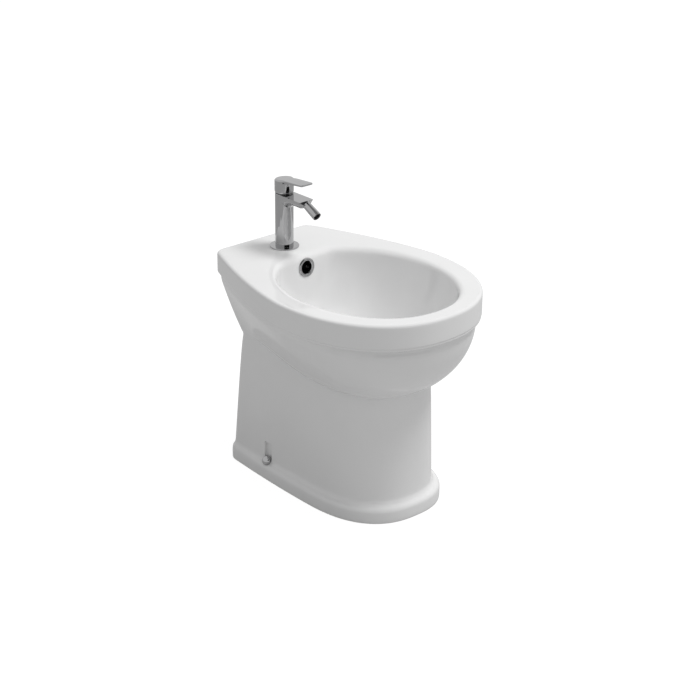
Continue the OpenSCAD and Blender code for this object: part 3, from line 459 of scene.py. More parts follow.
def outline(inset, back, back_half, corner, widest, half, front, power, side):
    """A closed plan outline, symmetric about x = 0, moved inwards by the inset. Front quarter: a
    superellipse, x = half sin(a)^(2/power), y = widest - (widest - front) cos(a)^(2/power). Side: x falls
    from half to back_half as the share to the power side. Corner: a quadratic curve about the corner point.
    Then the straight edge at the wall."""
    back, back_half, half, front = back - inset, back_half - inset, half - inset, inset - front
    a = np.linspace(0, np.pi / 2, FRONT_N + 1)
    x = half * np.sin(a) ** (2 / power)
    quarter = np.stack([x, widest - (widest - front) * np.cos(a) ** (2 / power)], -1)
    reach = 1 - corner / (back - widest)
    s = reach * np.arange(1, SIDE_N + 1) / SIDE_N
    flank = np.stack([half - (half - back_half) * s**side, widest + (back - widest) * s], -1)
    q = (np.arange(1, CORNER_N + 1) / CORNER_N)[:, None]
    last = np.array([back_half - corner, back])
    bend = (1 - q) ** 2 * flank[-1] + 2 * q * (1 - q) * np.array([back_half, back]) + q * q * last
    x = (back_half - corner) * (1 - np.arange(1, BACK_N + 1) / BACK_N)
    wall = np.stack([x, np.full(BACK_N, back)], -1)
    right = np.vstack([quarter, flank, bend, wall])
    return np.vstack([right, right[-2:0:-1] * [-1, 1]])


def smooth_step(t):
    """3 t^2 - 2 t^3 between 0 and 1."""
    c = np.clip(t, 0, 1)
    return c * c * (3 - 2 * c)


def level(ring, z):
    """One ring at a height, or at a height for each column."""
    return np.column_stack([ring, np.broadcast_to(z, len(ring))])[None]


def outside(ring):
    """Unit normals of a closed plan ring, or of each ring in rows of them."""
    tangent = np.roll(ring, -1, -2) - np.roll(ring, 1, -2)
    normal = np.stack([tangent[..., 1], -tangent[..., 0]], -1)
    return normal / np.maximum(np.linalg.norm(normal, axis=-1, keepdims=True), 1e-9)


class Casting:
    """Formulas of the casting's surfaces. Each method gives rows of closed rings, (rows, columns, 3). rear,
    front and full are shares for each column: 1 at the wall side, 1 in front, 1 where the bulge is round."""

    def __init__(self, c):
        self.c = c
        self.rim = self.rim_ring(0)
        self.columns = len(self.rim)
        y = self.rim[:, 1]
        self.rear = smooth_step((y + 20) / (c.rim_l / 2))
        self.front = smooth_step((-y - 40) / 140)
        self.full = smooth_step((-y - 50) / 150)
        self.band_z = c.rim_h - c.band_h + BAND_RISE * self.rear
        self.cove_z = c.rim_h - c.band_h - c.cove_h
        self.waist_z = c.waist_h + c.waist_rise * self.rear
        self.centre = -c.basin_forward
        self.drain = -c.drain_forward
        self.panel = rear_edge(c) - PANEL_LEAN
        self.floor = c.rim_h - c.basin_depth
        self.boss_low = self.floor - c.wall_t - BOSS_H
        self.heading = np.arctan2(self.rim[:, 0], y - self.centre)

    def rim_ring(self, inset):
        c = self.c
        return outline(inset, c.rim_l / 2, c.rim_back_w / 2, c.rim_corner, WIDEST, c.rim_w / 2,
                       c.rim_l / 2, power=2.2, side=1.51)

    def waist_ring(self, inset):
        c = self.c
        return outline(inset, c.waist_rear, c.waist_w / 2 - 2, 10, LOWER_WIDEST, c.waist_w / 2,
                       c.waist_front, power=2.45, side=2)

    def foot_ring(self, inset):
        c = self.c
        return outline(inset, c.foot_rear, c.foot_w / 2 - 4, 10, LOWER_WIDEST, c.foot_w / 2,
                       c.foot_front, power=2.5, side=1.8)

    def plinth_ring(self, inset):
        c = self.c
        return outline(inset, c.plinth_rear, c.plinth_w / 2 - PLINTH_TAPER, 20, LOWER_WIDEST, c.plinth_w / 2,
                       c.plinth_front, power=2.5, side=1.8)

    def cove_ring(self, inset):
        """Where the bulge starts: cove_in inside the rim in front, 0.35 of that at the sides, and 0.2 more
        at the wall side."""
        deep = (0.35 + 0.65 * self.front + 0.2 * self.rear**2)[:, None]
        return self.rim_ring(inset) * (1 - deep) + self.rim_ring(self.c.cove_in + inset) * deep

    def shoulder_room(self):
        """How far the plinth stands out of the foot, and where its rounded top starts."""
        foot, side = self.foot_ring(0), self.plinth_ring(0)
        full = ((side - foot) * outside(foot)).sum(1)
        return full, np.maximum(full - self.c.plinth_r, 2)

    def shoulder(self, share):
        """The plinth's rounded top, share 0 to 1 from the pedestal down to the side: a quarter ellipse
        across the room outside the foot, plinth_r high in front and 1.5 times that at the wall side."""
        c = self.c
        full, start = self.shoulder_room()
        turn = share * np.pi / 2
        back = (full - start) * (1 - math.sin(turn))
        z = c.plinth_h - c.plinth_r * (1 + 0.5 * self.rear) * (1 - math.cos(turn))
        return level(self.plinth_ring(0) - outside(self.foot_ring(0)) * back[:, None], z)

    def circle(self, radius, z):
        """Rings about the drain's axis, one for each radius and height."""
        radius, z = np.atleast_1d(radius).astype(float), np.atleast_1d(z).astype(float)
        radius, z = np.broadcast_arrays(radius[:, None], z[:, None])
        x = radius * np.sin(self.heading)
        y = self.drain + radius * np.cos(self.heading)
        return np.stack([x, y, np.broadcast_to(z, x.shape)], -1)

    def egg(self, half_w, half_l):
        """Radius of an egg at each column's heading: a superellipse of power 2.15 in front and 2 behind."""
        a = self.heading
        n = np.where(np.cos(a) < 0, 2.15, 2.0)
        return 1 / ((np.abs(np.sin(a)) / half_w) ** n + (np.abs(np.cos(a)) / half_l) ** n) ** (1 / n)

    def panelled(self, y, limit):
        """The rear wall's flat panel: y - k log(1 + exp((y - limit) / k)) with k = 3 mm, which follows the
        egg and stops softly at the limit."""
        return y - 3 * np.log1p(np.exp(np.minimum((y - limit) / 3, 40)))

    def egg_rows(self, grow, z):
        """Rings parallel to the basin's opening, one for each growth and height."""
        c = self.c
        grow, z = np.asarray(grow, float)[:, None], np.asarray(z, float)[:, None]
        r = self.egg(c.basin_half_w + grow, c.basin_half_l + grow)
        x, y = r * np.sin(self.heading), self.centre + r * np.cos(self.heading)
        return np.stack([x, self.panelled(y, self.panel + grow), np.broadcast_to(z, r.shape)], -1)

    def basin_rows(self, t, grow=0.0, drop=0.0):
        """The basin wall. The share of the opening's size is cos(t)^(2/2.2), the share of the depth is
        sin(t)^(2/q), and q runs from 1.15 in front to 1.6 at the wall side, where a flat panel leans in by
        PANEL_LEAN over the depth."""
        c = self.c
        t = np.asarray(t)[:, None]
        s = np.cos(t) ** (2 / BASIN_POWER)
        q = 1.15 + (1.6 - 1.15) * smooth_step(np.cos(self.heading))
        d = np.sin(t) ** (2 / q)
        half_w = c.seat_r + (c.basin_half_w - c.seat_r) * s + grow
        half_l = c.seat_r + (c.basin_half_l - c.seat_r) * s + grow
        r = self.egg(half_w, half_l)
        y = self.centre + (self.drain - self.centre) * (1 - s) + r * np.cos(self.heading)
        y = self.panelled(y, self.panel + grow - PANEL_LEAN * d)
        z = c.rim_h - c.roll_r - (c.basin_depth - c.roll_r) * d - drop
        return np.stack([r * np.sin(self.heading), y, z], -1)

    def between(self, first, last, share, z):
        """Rows whose plan goes from one ring to another by a share for each row or point."""
        share = np.broadcast_to(share, z.shape)[..., None]
        return np.concatenate([first * (1 - share) + last * share, z[..., None]], -1)

    def bulge_rows(self, u, inset):
        """From the cove to the waist. The share of the way in mixes u with the curve 1 - (1 - u^2)^0.75,
        which has all the weight in front and 0.22 of it at the sides."""
        u = np.asarray(u)[:, None]
        m = 0.22 + 0.78 * self.full
        g = (1 - m) * u + m * (1 - (1 - u**2) ** 0.75)
        z = self.cove_z + (self.waist_z - self.cove_z) * u
        return self.between(self.cove_ring(inset), self.waist_ring(inset), g, z)

    def pedestal_rows(self, u, inset):
        """From the waist to the plinth. The share of the way from waist to foot is u^0.85."""
        u = np.asarray(u)[:, None]
        z = self.waist_z + (self.c.plinth_h - self.waist_z) * u
        return self.between(self.waist_ring(inset), self.foot_ring(inset), u**0.85, z)

    def bead(self, above):
        """Outward swell of the soft moulding over the waist line: sin(pi v)^0.7 over a height that falls
        from front to rear. above is the height over the waist line in millimetres."""
        v = np.clip(above / (17 - 9.5 * self.rear), 0, 1)
        return (0.8 - 0.4 * self.rear) * np.sin(np.pi * v) ** 0.7

    def lip_rows(self):
        """The band's lower lip and the cove, whose plan is a mix of the front's and the sides' profiles. At
        the wall side the step in grows by 0.58 of itself."""
        front = self.front[None, :, None]
        more = (0.58 * self.rear**2)[None, :, None]
        at_front = np.stack([self.rim_ring(i) for i in LIP_IN])
        at_side = np.stack([self.rim_ring(i) for i in LIP_SIDE])
        plan = at_front * front + at_side * (1 - front)
        plan = plan * (1 + more) - self.rim * more
        z = self.band_z - (self.band_z - self.cove_z) * (np.array(LIP_DROP) / 12)[:, None]
        return np.concatenate([plan, z[..., None]], -1)


def rear_edge(c):
    """y of the opening's rear edge, before its flat panel."""
    return c.basin_half_l - c.basin_forward


def mixed_rows(first, last, steps):
    """Rows between two rings, at equal shares."""
    t = np.linspace(0, 1, steps, endpoint=False)[:, None, None]
    return first[0] * (1 - t) + last[0] * t


def along(rows, distance):
    """Rows moved outwards in plan, along each ring's normal, by a distance for each point."""
    moved_rows = rows.copy()
    moved_rows[..., :2] += outside(rows[..., :2]) * distance[..., None]
    return moved_rows


def softened(rows, share, passes):
    """Closed rows smoothed across themselves: each pass moves a point half way to the mean of the rows
    beside it, times its share. Flats stay flat and edges become round."""
    weight = share[..., None] * 0.5
    for _ in range(passes):
        rows = rows + weight * (0.5 * (np.roll(rows, 1, 0) + np.roll(rows, -1, 0)) - rows)
    return rows


def thinned(rows, wanted, share):
    """The rows that matter most: a row's weight is a little for its step and more for its turn."""
    step = np.roll(rows, -1, 0) - rows
    size = np.linalg.norm(step, axis=-1)
    unit = step / np.maximum(size, 1e-9)[..., None]
    turn = np.arccos(np.clip((unit * np.roll(unit, 1, 0)).sum(-1), -1, 1)).max(1)
    weight = (0.05 * size.mean(1) + np.minimum(turn, 0.3)) * share
    total = np.concatenate([[0], np.cumsum(weight)])
    chosen = np.searchsorted(total, np.linspace(0, total[-1], wanted, endpoint=False))
    return rows[np.unique(np.clip(chosen, 0, len(rows) - 1))]


class Skin:
    """Rings collected one after another, each with how much it is softened and how finely it is kept."""

    def __init__(self):
        self.rows, self.soft, self.fine = [], [], []
        self.count = 0

    def add(self, rows, soft, fine=1.0):
        """Adds rings and gives the index of the first."""
        first = self.count
        self.rows.append(rows)
        self.soft.append(np.full(len(rows), soft))
        self.fine.append(np.full(len(rows), fine))
        self.count += len(rows)
        return first

    def near(self, index, width):
        """A weight for each ring, 1 at an index and falling off as a bell over a width in rings."""
        return np.exp(-(((np.arange(self.count) - index) / width) ** 2))


def add_top(k, skin):
    """Drain wall, drain flat, basin, rolled edge, deck and band. Gives the first rings of roll and deck."""
    c = k.c
    quarter = np.linspace(0, np.pi / 2, 17)[1:]
    skin.add(k.circle(c.drain_r, np.arange(k.boss_low, k.floor, 2.0)), soft=0.5, fine=0.5)
    skin.add(k.circle(np.arange(c.drain_r, c.seat_r, 1.0), k.floor), soft=0.3)
    skin.add(k.basin_rows(np.linspace(np.pi / 2, 0, 230, endpoint=False)), soft=1.0)
    in_by, drop = c.roll_r * (1 - np.cos(quarter)), c.roll_r * (1 - np.sin(quarter))
    roll = skin.add(k.egg_rows(in_by, c.rim_h - drop), soft=1.0)
    deck_edge = level(k.rim_ring(c.edge_r), c.rim_h)
    deck = skin.add(mixed_rows(k.egg_rows([c.roll_r], [c.rim_h]), deck_edge, 40)[1:], soft=1.0)
    for turn in np.linspace(0, np.pi / 2, 8):
        inset = c.edge_r * (1 - math.sin(turn))
        skin.add(level(k.rim_ring(inset), c.rim_h - c.edge_r * (1 - math.cos(turn))), soft=0.4)
    shares = np.linspace(0, 1, 36)[:, None]
    top = c.rim_h - c.edge_r - 1
    height = top - (top - k.band_z - 0.6) * shares
    skin.add(k.between(k.rim, k.rim, 0, height), soft=0.4)
    return roll, deck


def add_outside(k, skin):
    """Lip, cove, bulge with its moulding, pedestal, plinth and the foot's ground face. Gives the first ring
    of the pedestal."""
    c = k.c
    skin.add(k.lip_rows(), soft=0.12, fine=1.6)
    u = np.linspace(0, 1, 190)
    bulge = k.bulge_rows(u, 0)
    groove = -4.6 * np.exp(-((u / 0.06) ** 2))[:, None] * k.front
    skin.add(along(bulge, groove + k.bead(bulge[..., 2] - k.waist_z))[1:], soft=0.35)
    pedestal = k.pedestal_rows(np.linspace(0, 1, 260)[1:], 0)
    below = k.waist_z - pedestal[..., 2]
    step = -0.9 * np.exp(-np.clip(below / 14, 0, 9))
    room = np.minimum(k.shoulder_room()[1], 6)
    flare = room * np.clip(1 - (pedestal[..., 2] - c.plinth_h) / 10, 0, 1) ** 2
    waist = skin.add(along(pedestal, step + flare)[:-2], soft=0.5)
    rounds = np.concatenate([k.shoulder(share) for share in np.linspace(0, 1, 16)])
    skin.add(rounds, soft=0.5)
    skin.add(mixed_rows(rounds[-1:], level(k.plinth_ring(0), 2.5), 16)[1:], soft=0.3)
    for inset, z in ((0.1, 1.6), (0.6, 0.7), (1.6, 0.1), (3.0, 0.0)):
        skin.add(level(k.plinth_ring(inset), z), soft=0.0)
    ground = mixed_rows(level(k.plinth_ring(4.0), 0.0), level(k.foot_ring(c.wall_t), 0.0), 6)
    skin.add(ground, soft=0.0, fine=0.4)
    return waist


def add_inside(k, skin):
    """The hollow, from the foot up to the deck and round the basin down to the drain boss."""
    c = k.c
    rough = {"fine": 0.4}
    skin.add(k.pedestal_rows(np.linspace(1, 0, 40), c.wall_t)[1:], 0.3, **rough)
    skin.add(k.bulge_rows(np.linspace(1, 0, 30), c.wall_t)[1:], 0.3, **rough)
    under = c.rim_h - c.deck_t
    top = level(k.rim_ring(c.cove_in + c.wall_t), under)
    first = k.basin_rows(np.radians([10.0]), c.wall_t, c.wall_t)
    roof = first.copy()
    roof[0, :, :2] = 0.05 * top[0, :, :2] + 0.95 * first[0, :, :2]
    roof[0, :, 2] = under
    skin.add(mixed_rows(level(k.cove_ring(c.wall_t), k.cove_z), top, 6)[1:], 0.2, **rough)
    skin.add(mixed_rows(top, roof, 8), 0.2, **rough)
    skin.add(mixed_rows(roof, first, 3), 0.2, **rough)
    skin.add(k.basin_rows(np.radians(np.linspace(10, 88, 40)), c.wall_t, c.wall_t), 0.3, **rough)
    under_floor = k.floor - c.wall_t
    boss_r = c.seat_r
    skin.add(k.circle(np.linspace(boss_r + 8, boss_r, 4), under_floor), 0.0, **rough)
    skin.add(k.circle(boss_r - 1, np.linspace(under_floor - 1, k.boss_low + 1, 8)), 0.0, **rough)
    skin.add(k.circle(np.linspace(boss_r - 2, c.drain_r + 1, 5), k.boss_low), 0.0, **rough)


def casting_rows(c):
    """The whole skin as one closed tube of rings, softened all over, then more at the opening's edge and at
    the waist line on the wall side, and thinned to the rings that matter."""
    k = Casting(c)
    skin = Skin()
    roll, deck = add_top(k, skin)
    waist = add_outside(k, skin)
    add_inside(k, skin)
    soft = np.concatenate(skin.soft)
    rows = softened(np.concatenate(skin.rows), np.repeat(soft[:, None], k.columns, 1), 8)
    behind = smooth_step(np.cos(k.heading) * 0.8 + 0.45)
    edge_share = skin.near(roll + 8, 30)
    edge_share[deck + 25:] = 0
    rows = softened(rows, edge_share[:, None] * behind, 70)
    rows = softened(rows, skin.near(waist, 8)[:, None] * k.rear, 24)
    return thinned(rows, KEPT_RINGS, np.concatenate(skin.fine))


def overflow_place(c):
    """Frame of the overflow: +z comes out of the basin wall."""
    return shift(0, rear_edge(c) - OVERFLOW_FORWARD, c.rim_h - OVERFLOW_DROP) @ turned(OVERFLOW_TILT, "X")


def fixing_place(c, side):
    """Frame of a floor fixing: +z points outwards along the screw."""
    return shift(side * FIXING_X, FIXING_Y, c.plinth_h + FIXING_RISE) @ turned(side * FIXING_SLOPE, "Y")


def service_cutter(c):
    """The arch through the back, with a mouth that flares: along y the outline grows by r (1 - cos f) while
    f turns from 0 to 75 degrees, and the rear face's own lean is followed."""
    half, top = c.service_w / 2, c.service_h
    spring = top - half
    start, end = c.waist_rear - 30.0, c.rim_l / 2 + 10.0
    a = np.linspace(0, np.pi, 49)
    arch = np.column_stack([half * np.cos(a), spring + half * np.sin(a)])
    legs = np.linspace(spring, -6, 12)[1:]
    left = np.column_stack([np.full(len(legs), -half), legs])
    plan = np.vstack([arch, left, left[::-1] * [-1, 1]])
    normal = np.column_stack([plan[:, 0] / half, np.clip((plan[:, 1] - spring) / half, 0, 1)])
    normal /= np.linalg.norm(normal, axis=1, keepdims=True)
    face = np.interp(plan[:, 1], [0, c.plinth_h, c.waist_h + c.waist_rise, c.rim_h - 54],
                     [c.plinth_rear, c.foot_rear, c.waist_rear, c.rim_l / 2 - 9])
    flare_r = 3.0
    f = np.radians(np.linspace(0, 75, 7))
    grow = flare_r * (1 - np.cos(f))
    grow = np.concatenate([[0], grow, grow[-1:]])
    flared = face + flare_r * (np.sin(f)[:, None] - 1)
    y = np.vstack([[np.full(len(plan), start)], flared, [np.full(len(plan), end)]])
    wide = plan + normal * grow[:, None, None]
    rings = np.stack([wide[..., 0], y, wide[..., 1]], -1)
    return lofted(rings, [0, start, top / 2], [0, end, top / 2])


class BIDET_OT_casting(bpy.types.Operator):
    """Build the glazed casting: basin, deck, band, pedestal and plinth, hollow inside"""

    bl_idname = "bidet.casting"
    bl_label = "Ceramic body"

    def execute(self, context):
        c = casting()
        rear = rear_edge(c) + DUCT_BEHIND
        low = c.rim_h - c.basin_depth - DUCT_DROP
        rise = c.rim_h - c.deck_t - low
        run = rear + c.drain_forward
        upright = shift(0, rear, low)
        lying = upright @ turned(90, "X")
        ring_place = overflow_place(c)
        cuts = [
            at(upright, tube(DUCT_BORE, -DUCT_BORE, rise - 7)),
            at(lying, tube(DUCT_BORE, 1 - DUCT_BORE, run)),
            at(ring_place, tube(12.7, -24, 12)),
            at(ring_place, tube(18, -1.6, 12, 96)),
            at(shift(0, TAP_Y, 0), tube(TAP_HOLE_R, c.rim_h - 30, c.rim_h + 9, 96)),
            service_cutter(c),
        ]
        for side in (-1, 1):
            place = fixing_place(c, side)
            cuts.append(at(place, tube(NOTCH_HALF_W, 0, 20)))
            cuts.append(at(place, tube(SCREW_HOLE_R, -40, 1)))
            x = side * (c.foot_w / 2 - 4)
            x0, x1 = sorted((x - side * 3, x + side * 20))
            y0, y1 = FIXING_Y - NOTCH_HALF_W, FIXING_Y + NOTCH_HALF_W
            cuts.append(block((x0, y0, c.plinth_h + NOTCH_RISE), (x1, y1, NOTCH_TOP), 1.0))
        steps = [("UNION", at(upright, tube(DUCT_R, -DUCT_R, rise + 3))),
                 ("UNION", at(lying, tube(DUCT_R, 0, run - c.drain_r - 2)))]
        steps += [("DIFFERENCE", cut) for cut in cuts]
        mesh = combined(lofted(casting_rows(c)), steps)
        finish_piece("ceramic_glaze", mesh, glaze(), "stand", "ceramic_body", 50)
        return {"FINISHED"}


# ---------------------------------------------------------------- the mixer

# the tap's shank below the deck: length and radius
SHANK_L = 9.0
SHANK_R = 15.3
# the cartridge's chamber: radius and depth from the top of the column
CHAMBER_R = 14.2
CHAMBER_H = 39.0
# places of the two inlets and of the stud from the tap's axis, and the radii of their holes
INLET_X, INLET_Y, INLET_R = 7.2, 3.5, 5.0
STUD_Y, STUD_R = -8.5, 4.1
# middle of the spout's face below the column's top, and the nozzle's ball from the face
FACE_DROP = 5.5
BALL_DEPTH = 6.5
# y of the point that closes the lever's top and bottom
LEVER_CENTRE = -8.0


def tap_place():
    """Frame of the tap: its axis on the deck."""
    return shift(0, TAP_Y, casting().rim_h)


def nozzle_place(m):
    """Frame of the nozzle: +z runs out of the spout's face along the nozzle."""
    face = tap_place() @ shift(0, -m.spout_reach, m.column_h - FACE_DROP)
    return face @ Matrix.Rotation(math.pi / 2 + m.nozzle_slope, 4, "X")


def chrome_piece(name, corners, radii, place, body, node):
    """A turned chrome piece from a profile with rounded corners, in its own frame."""
    points, faces = outward(*revolved(rounded(corners, radii, 5)))
    return new_piece(name, moved(points, place), faces, chrome(), body, node, 40)


def chrome_cut(name, base, steps, body, node, sharp):
    """A chrome piece in the tap's frame, made of a base and what is joined to it and cut from it."""
    mesh = combined(base, steps)
    mesh.transform(Matrix.Translation(Vector((0, TAP_Y, casting().rim_h)) * MM))
    return finish_piece(name, mesh, chrome(), body, node, sharp)


def spout_rings(m):
    """Cross sections of the spout: a flat top, and below it a half superellipse of power 2.3 that is deeper
    near the column, by 9 (1 - share)^2 millimetres."""
    count = 40
    a = np.pi * np.arange(count + 1) / count
    power = 2 / 2.3
    lower_x = m.spout_w / 2 * np.sign(np.cos(a)) * np.abs(np.cos(a)) ** power
    upper_x = np.linspace(-m.spout_w / 2, m.spout_w / 2, 12)[1:-1]
    reach = np.concatenate([[0.0], m.column_r + np.linspace(0, 15, 20), [m.spout_reach + 8]])
    depth = m.spout_t + 9 * np.clip(1 - (reach - m.column_r) / 15, 0, 1) ** 2
    drop = np.concatenate([np.sin(a) ** power, np.zeros(len(upper_x))])
    z = m.column_h - 0.4 - depth[:, None] * drop
    x = np.broadcast_to(np.concatenate([lower_x, upper_x]), z.shape)
    return np.stack([x, np.broadcast_to(-reach[:, None], z.shape), z], -1)


class BIDET_OT_mixer_body(bpy.types.Operator):
    """Build the mixer's column with its spout, and the plate it stands on"""

    bl_idname = "bidet.mixer_body"
    bl_label = "Column and spout"

    def execute(self, context):
        m = mixer()
        low, top = m.plate_t - 0.1, m.column_h
        chamber_low = top - CHAMBER_H
        profile = [(0, -SHANK_L), (SHANK_R, -SHANK_L), (SHANK_R, low), (m.column_r, low), (m.column_r, top),
                   (CHAMBER_R, top), (CHAMBER_R, chamber_low), (0, chamber_low)]
        column = revolved(rounded(profile, [0, 0, 0, 0.3, 0.8, 0.4, 0, 0]), 128)
        rings = spout_rings(m)
        spout = lofted(rings, [0, 0, top - 6], [0, rings[-1, 0, 1], top - 6])
        in_tap = tap_place().inverted() @ nozzle_place(m)
        steps = [
            ("UNION", spout),
            ("DIFFERENCE", tube(CHAMBER_R, chamber_low, top + 20, 96)),
            ("DIFFERENCE", at(in_tap, block((-40, -40, 0), (40, 40, 60), 0))),
            ("DIFFERENCE", at(in_tap, tube(3.3, -3.5, 1))),
            ("DIFFERENCE", at(shift(-INLET_X, INLET_Y, 0), tube(INLET_R, -12, 5, 48))),
            ("DIFFERENCE", at(shift(INLET_X, INLET_Y, 0), tube(INLET_R, -12, 5, 48))),
            ("DIFFERENCE", at(shift(0, STUD_Y, 0), tube(STUD_R, -12, 3, 48))),
        ]
        piece = chrome_cut("mixer_body_chrome", column, steps, "stand", "tap_body", 30)
        soft = piece.modifiers.new("soft edges", "BEVEL")
        soft.width = 0.0006
        soft.segments = 3
        soft.limit_method = "ANGLE"
        soft.angle_limit = math.radians(50)
        soft.harden_normals = False
        hole_r, step_r = 15.4, m.plate_r - 2
        profile = [(hole_r, 1.25), (step_r, 1.25), (step_r, 0.2), (m.plate_r, 0.2), (m.plate_r, m.plate_t),
                   (hole_r, m.plate_t)]
        radii = [0, 0, 0, 0.2, 0.8, 0]
        chrome_piece("mixer_plate_chrome", profile, radii, tap_place(), "stand", "tap_base_ring")
        return {"FINISHED"}


def lever_outline(m, hub_r):
    """Plan of hub and lever: the hub's circle, two parallel sides and a tip with rounded corners, with each
    point's own edge rounding and whether it is on the hub beside it."""
    half, tip, corner = m.lever_w / 2, -m.lever_reach, 4.0
    meet = math.asin(half / hub_r)
    a = np.linspace(-np.pi / 2 + meet, 3 * np.pi / 2 - meet, 121)
    circle = np.column_stack([hub_r * np.cos(a), hub_r * np.sin(a)])
    start = circle[-1, 1]
    share = np.linspace(0, 1, 24)[1:-1]
    share[0] = 0.002
    left = np.column_stack([np.full(len(share), -half), start + (tip + corner - start) * share])
    q = np.linspace(0, np.pi / 2, 9)
    near = np.column_stack([corner - half - corner * np.cos(q), tip + corner - corner * np.sin(q)])
    x = np.linspace(corner - half, half - corner, 12)[1:-1]
    front = np.column_stack([x, np.full(len(x), tip)])
    mirrored = [-1, 1]
    plan = np.vstack([circle, left, near, front, near[::-1] * mirrored, left[::-1] * mirrored])
    soft = smooth_step((-plan[:, 1] - 8) / 14)
    return plan, 3.2 * (1 - soft) + 0.7 * soft, np.arange(len(plan)) < len(circle)


def lever_slab(m, hub_r, hub_top):
    """Hub and lever as one slab: its top is a plane that rises to the tip, its edges are quarter circles of
    each point's own radius, and the lever thins from root to tip."""
    rise = math.tan(m.lever_rise)
    plan, soft, on_hub = lever_outline(m, hub_r)
    normal = outside(plan)
    share = np.clip((-plan[:, 1] - 10) / (m.lever_reach - 10), 0, 1)
    thick = np.where(on_hub, 11, m.lever_root_t + (m.lever_tip_t - m.lever_root_t) * share)
    lower_soft = np.where(on_hub, 0.05, 0.6)

    def row(inset, drop, follow):
        """The plan moved inwards, at a drop below the plane over itself or over the outline."""
        inner = plan - normal * np.broadcast_to(inset, len(plan))[:, None]
        below = inner if follow else plan
        return np.column_stack([inner, hub_top - below[:, 1] * rise - drop])

    rows = [row(3.0, thick, False)]
    for f in np.linspace(0, np.pi / 2, 6):
        rows.append(row(lower_soft * (1 - math.sin(f)), thick - lower_soft * (1 - math.cos(f)), False))
    for f in np.linspace(0, np.pi / 2, 9):
        rows.append(row(soft * (1 - math.cos(f)), soft * (1 - math.sin(f)), True))
    rows.append(row(soft + 1.0, 0, True))
    rings = np.stack(rows)
    rings[:, :, 2] = np.maximum.accumulate(rings[:, :, 2], 0)
    z = hub_top - LEVER_CENTRE * rise
    return lofted(rings, [0, LEVER_CENTRE, z - m.lever_root_t], [0, LEVER_CENTRE, z])


class BIDET_OT_lever(bpy.types.Operator):
    """Build the lever: a turned hub and a flat lever whose top is one plane that rises to the tip"""

    bl_idname = "bidet.lever"
    bl_label = "Lever"

    def execute(self, context):
        m = mixer()
        low = m.column_h + m.hub_gap
        top = low + m.hub_h
        hub_r = m.column_r + 0.7
        side_r, skirt_r = hub_r - 0.03, 15.1
        profile = [(0, low + 6.5), (skirt_r, low + 6.5), (skirt_r, low), (m.column_r, low),
                   (side_r, low + 3), (side_r, top - 6), (0, top - 6)]
        hub = revolved(rounded(profile, [0, 0.3, 0.3, 0.5, 1.5, 0, 0]), 128)
        towards = -1 if middle_y("lever_plug") < TAP_Y else 1
        across = shift(0, 0, low + 12.2) @ turned(-90 * towards, "X")
        steps = [
            ("UNION", lever_slab(m, hub_r, top)),
            ("DIFFERENCE", block((-3.6, -3.1, low), (3.6, 3.1, low + 19), 0)),
            ("DIFFERENCE", at(across, tube(2.6, 0, 22, 40))),
            ("DIFFERENCE", at(across, tube(4.6, m.column_r - 3, 22, 48))),
        ]
        chrome_cut("lever_chrome", hub, steps, "lever", "lever_handle", 35)
        return {"FINISHED"}


class BIDET_OT_nozzle(bpy.types.Operator):
    """Build the swivelling nozzle"""

    bl_idname = "bidet.nozzle"
    bl_label = "Nozzle"

    def execute(self, context):
        m = mixer()
        r = m.nozzle_r
        start = 3.0
        end = start + m.nozzle_l
        seat = BALL_DEPTH + 0.9
        profile = [(4.3, start), (r - 0.75, start), (r, end - 8), (r, end), (r - 1, end), (r - 1, end - 9),
                   (r - 2, end - 9), (r - 2, seat), (5.2, seat), (5.2, 5.0), (4.4, 3.7)]
        radii = [0.3, 1.4, 6, 0.35, 0.25, 0, 0, 0, 0, 1, 0.2]
        chrome_piece("nozzle_chrome", profile, radii, nozzle_place(m), "nozzle", "nozzle_housing")
        return {"FINISHED"}


def overflow_ring(m, c):
    """The ring in the basin's rear wall, with the sleeve behind it."""
    hole, edge = m.overflow_hole, m.overflow_r
    profile = [(hole, -16), (12.65, -16), (12.65, -1.55), (edge, -1.55), (edge, 0.0), (edge - 1.6, 0.9),
               (hole + 1.2, 0.9), (hole, -0.6)]
    radii = [0, 0, 0, 0.1, 0.6, 1.2, 0.8, 1.2]
    chrome_piece("overflow_ring_chrome", profile, radii, overflow_place(c), "stand", "overflow_ring")


def plug_cap(m, c):
    """The plug's cap: a low dome whose height over its rim is 4 (1 - share^2), with the spindle's hole
    below."""
    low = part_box("plug_cap")[0][2] / MM
    share = np.linspace(1, 0, 24)[1:]
    dome = np.column_stack([m.cap_r * share, low + 2.8 + 4 * (1 - share**2)])
    profile = [(0, low + 1.7), (2.65, low + 1.7), (2.65, low), (m.cap_r - 8, low), (m.cap_r - 7, low + 1.2),
               (m.cap_r, low + 1.2), (m.cap_r, low + 2.8)]
    radii = [0, 0, 0, 0.4, 0.4, 0.4, 0.7] + [0] * len(dome)
    place = shift(0, -c.drain_forward, 0)
    chrome_piece("plug_cap_chrome", np.vstack([profile, dome]), radii, place, "plug", "plug_cap")


def fixing_caps(m, c):
    """The two caps of the floor fixings in one piece: domes of half an ellipse on a short skirt."""
    r = m.fixing_r
    turn = np.linspace(0, np.pi / 2, 22)
    dome = np.column_stack([r * np.cos(turn), 3.4 + 6.4 * np.sin(turn)])
    skirt = [(0, 7.2), (5.5, 7.2), (5.5, 3.6), (7.75, 3.6), (7.75, 0.05), (r, 0.05)]
    points, faces = outward(*revolved(np.vstack([skirt, dome]), 64))
    both = np.vstack([moved(points, fixing_place(c, side)) for side in (-1, 1)])
    faces = faces + [[i + len(points) for i in face] for face in faces]
    new_piece("fixing_caps_chrome", both, faces, chrome(), "stand", "fixing_caps", 40)


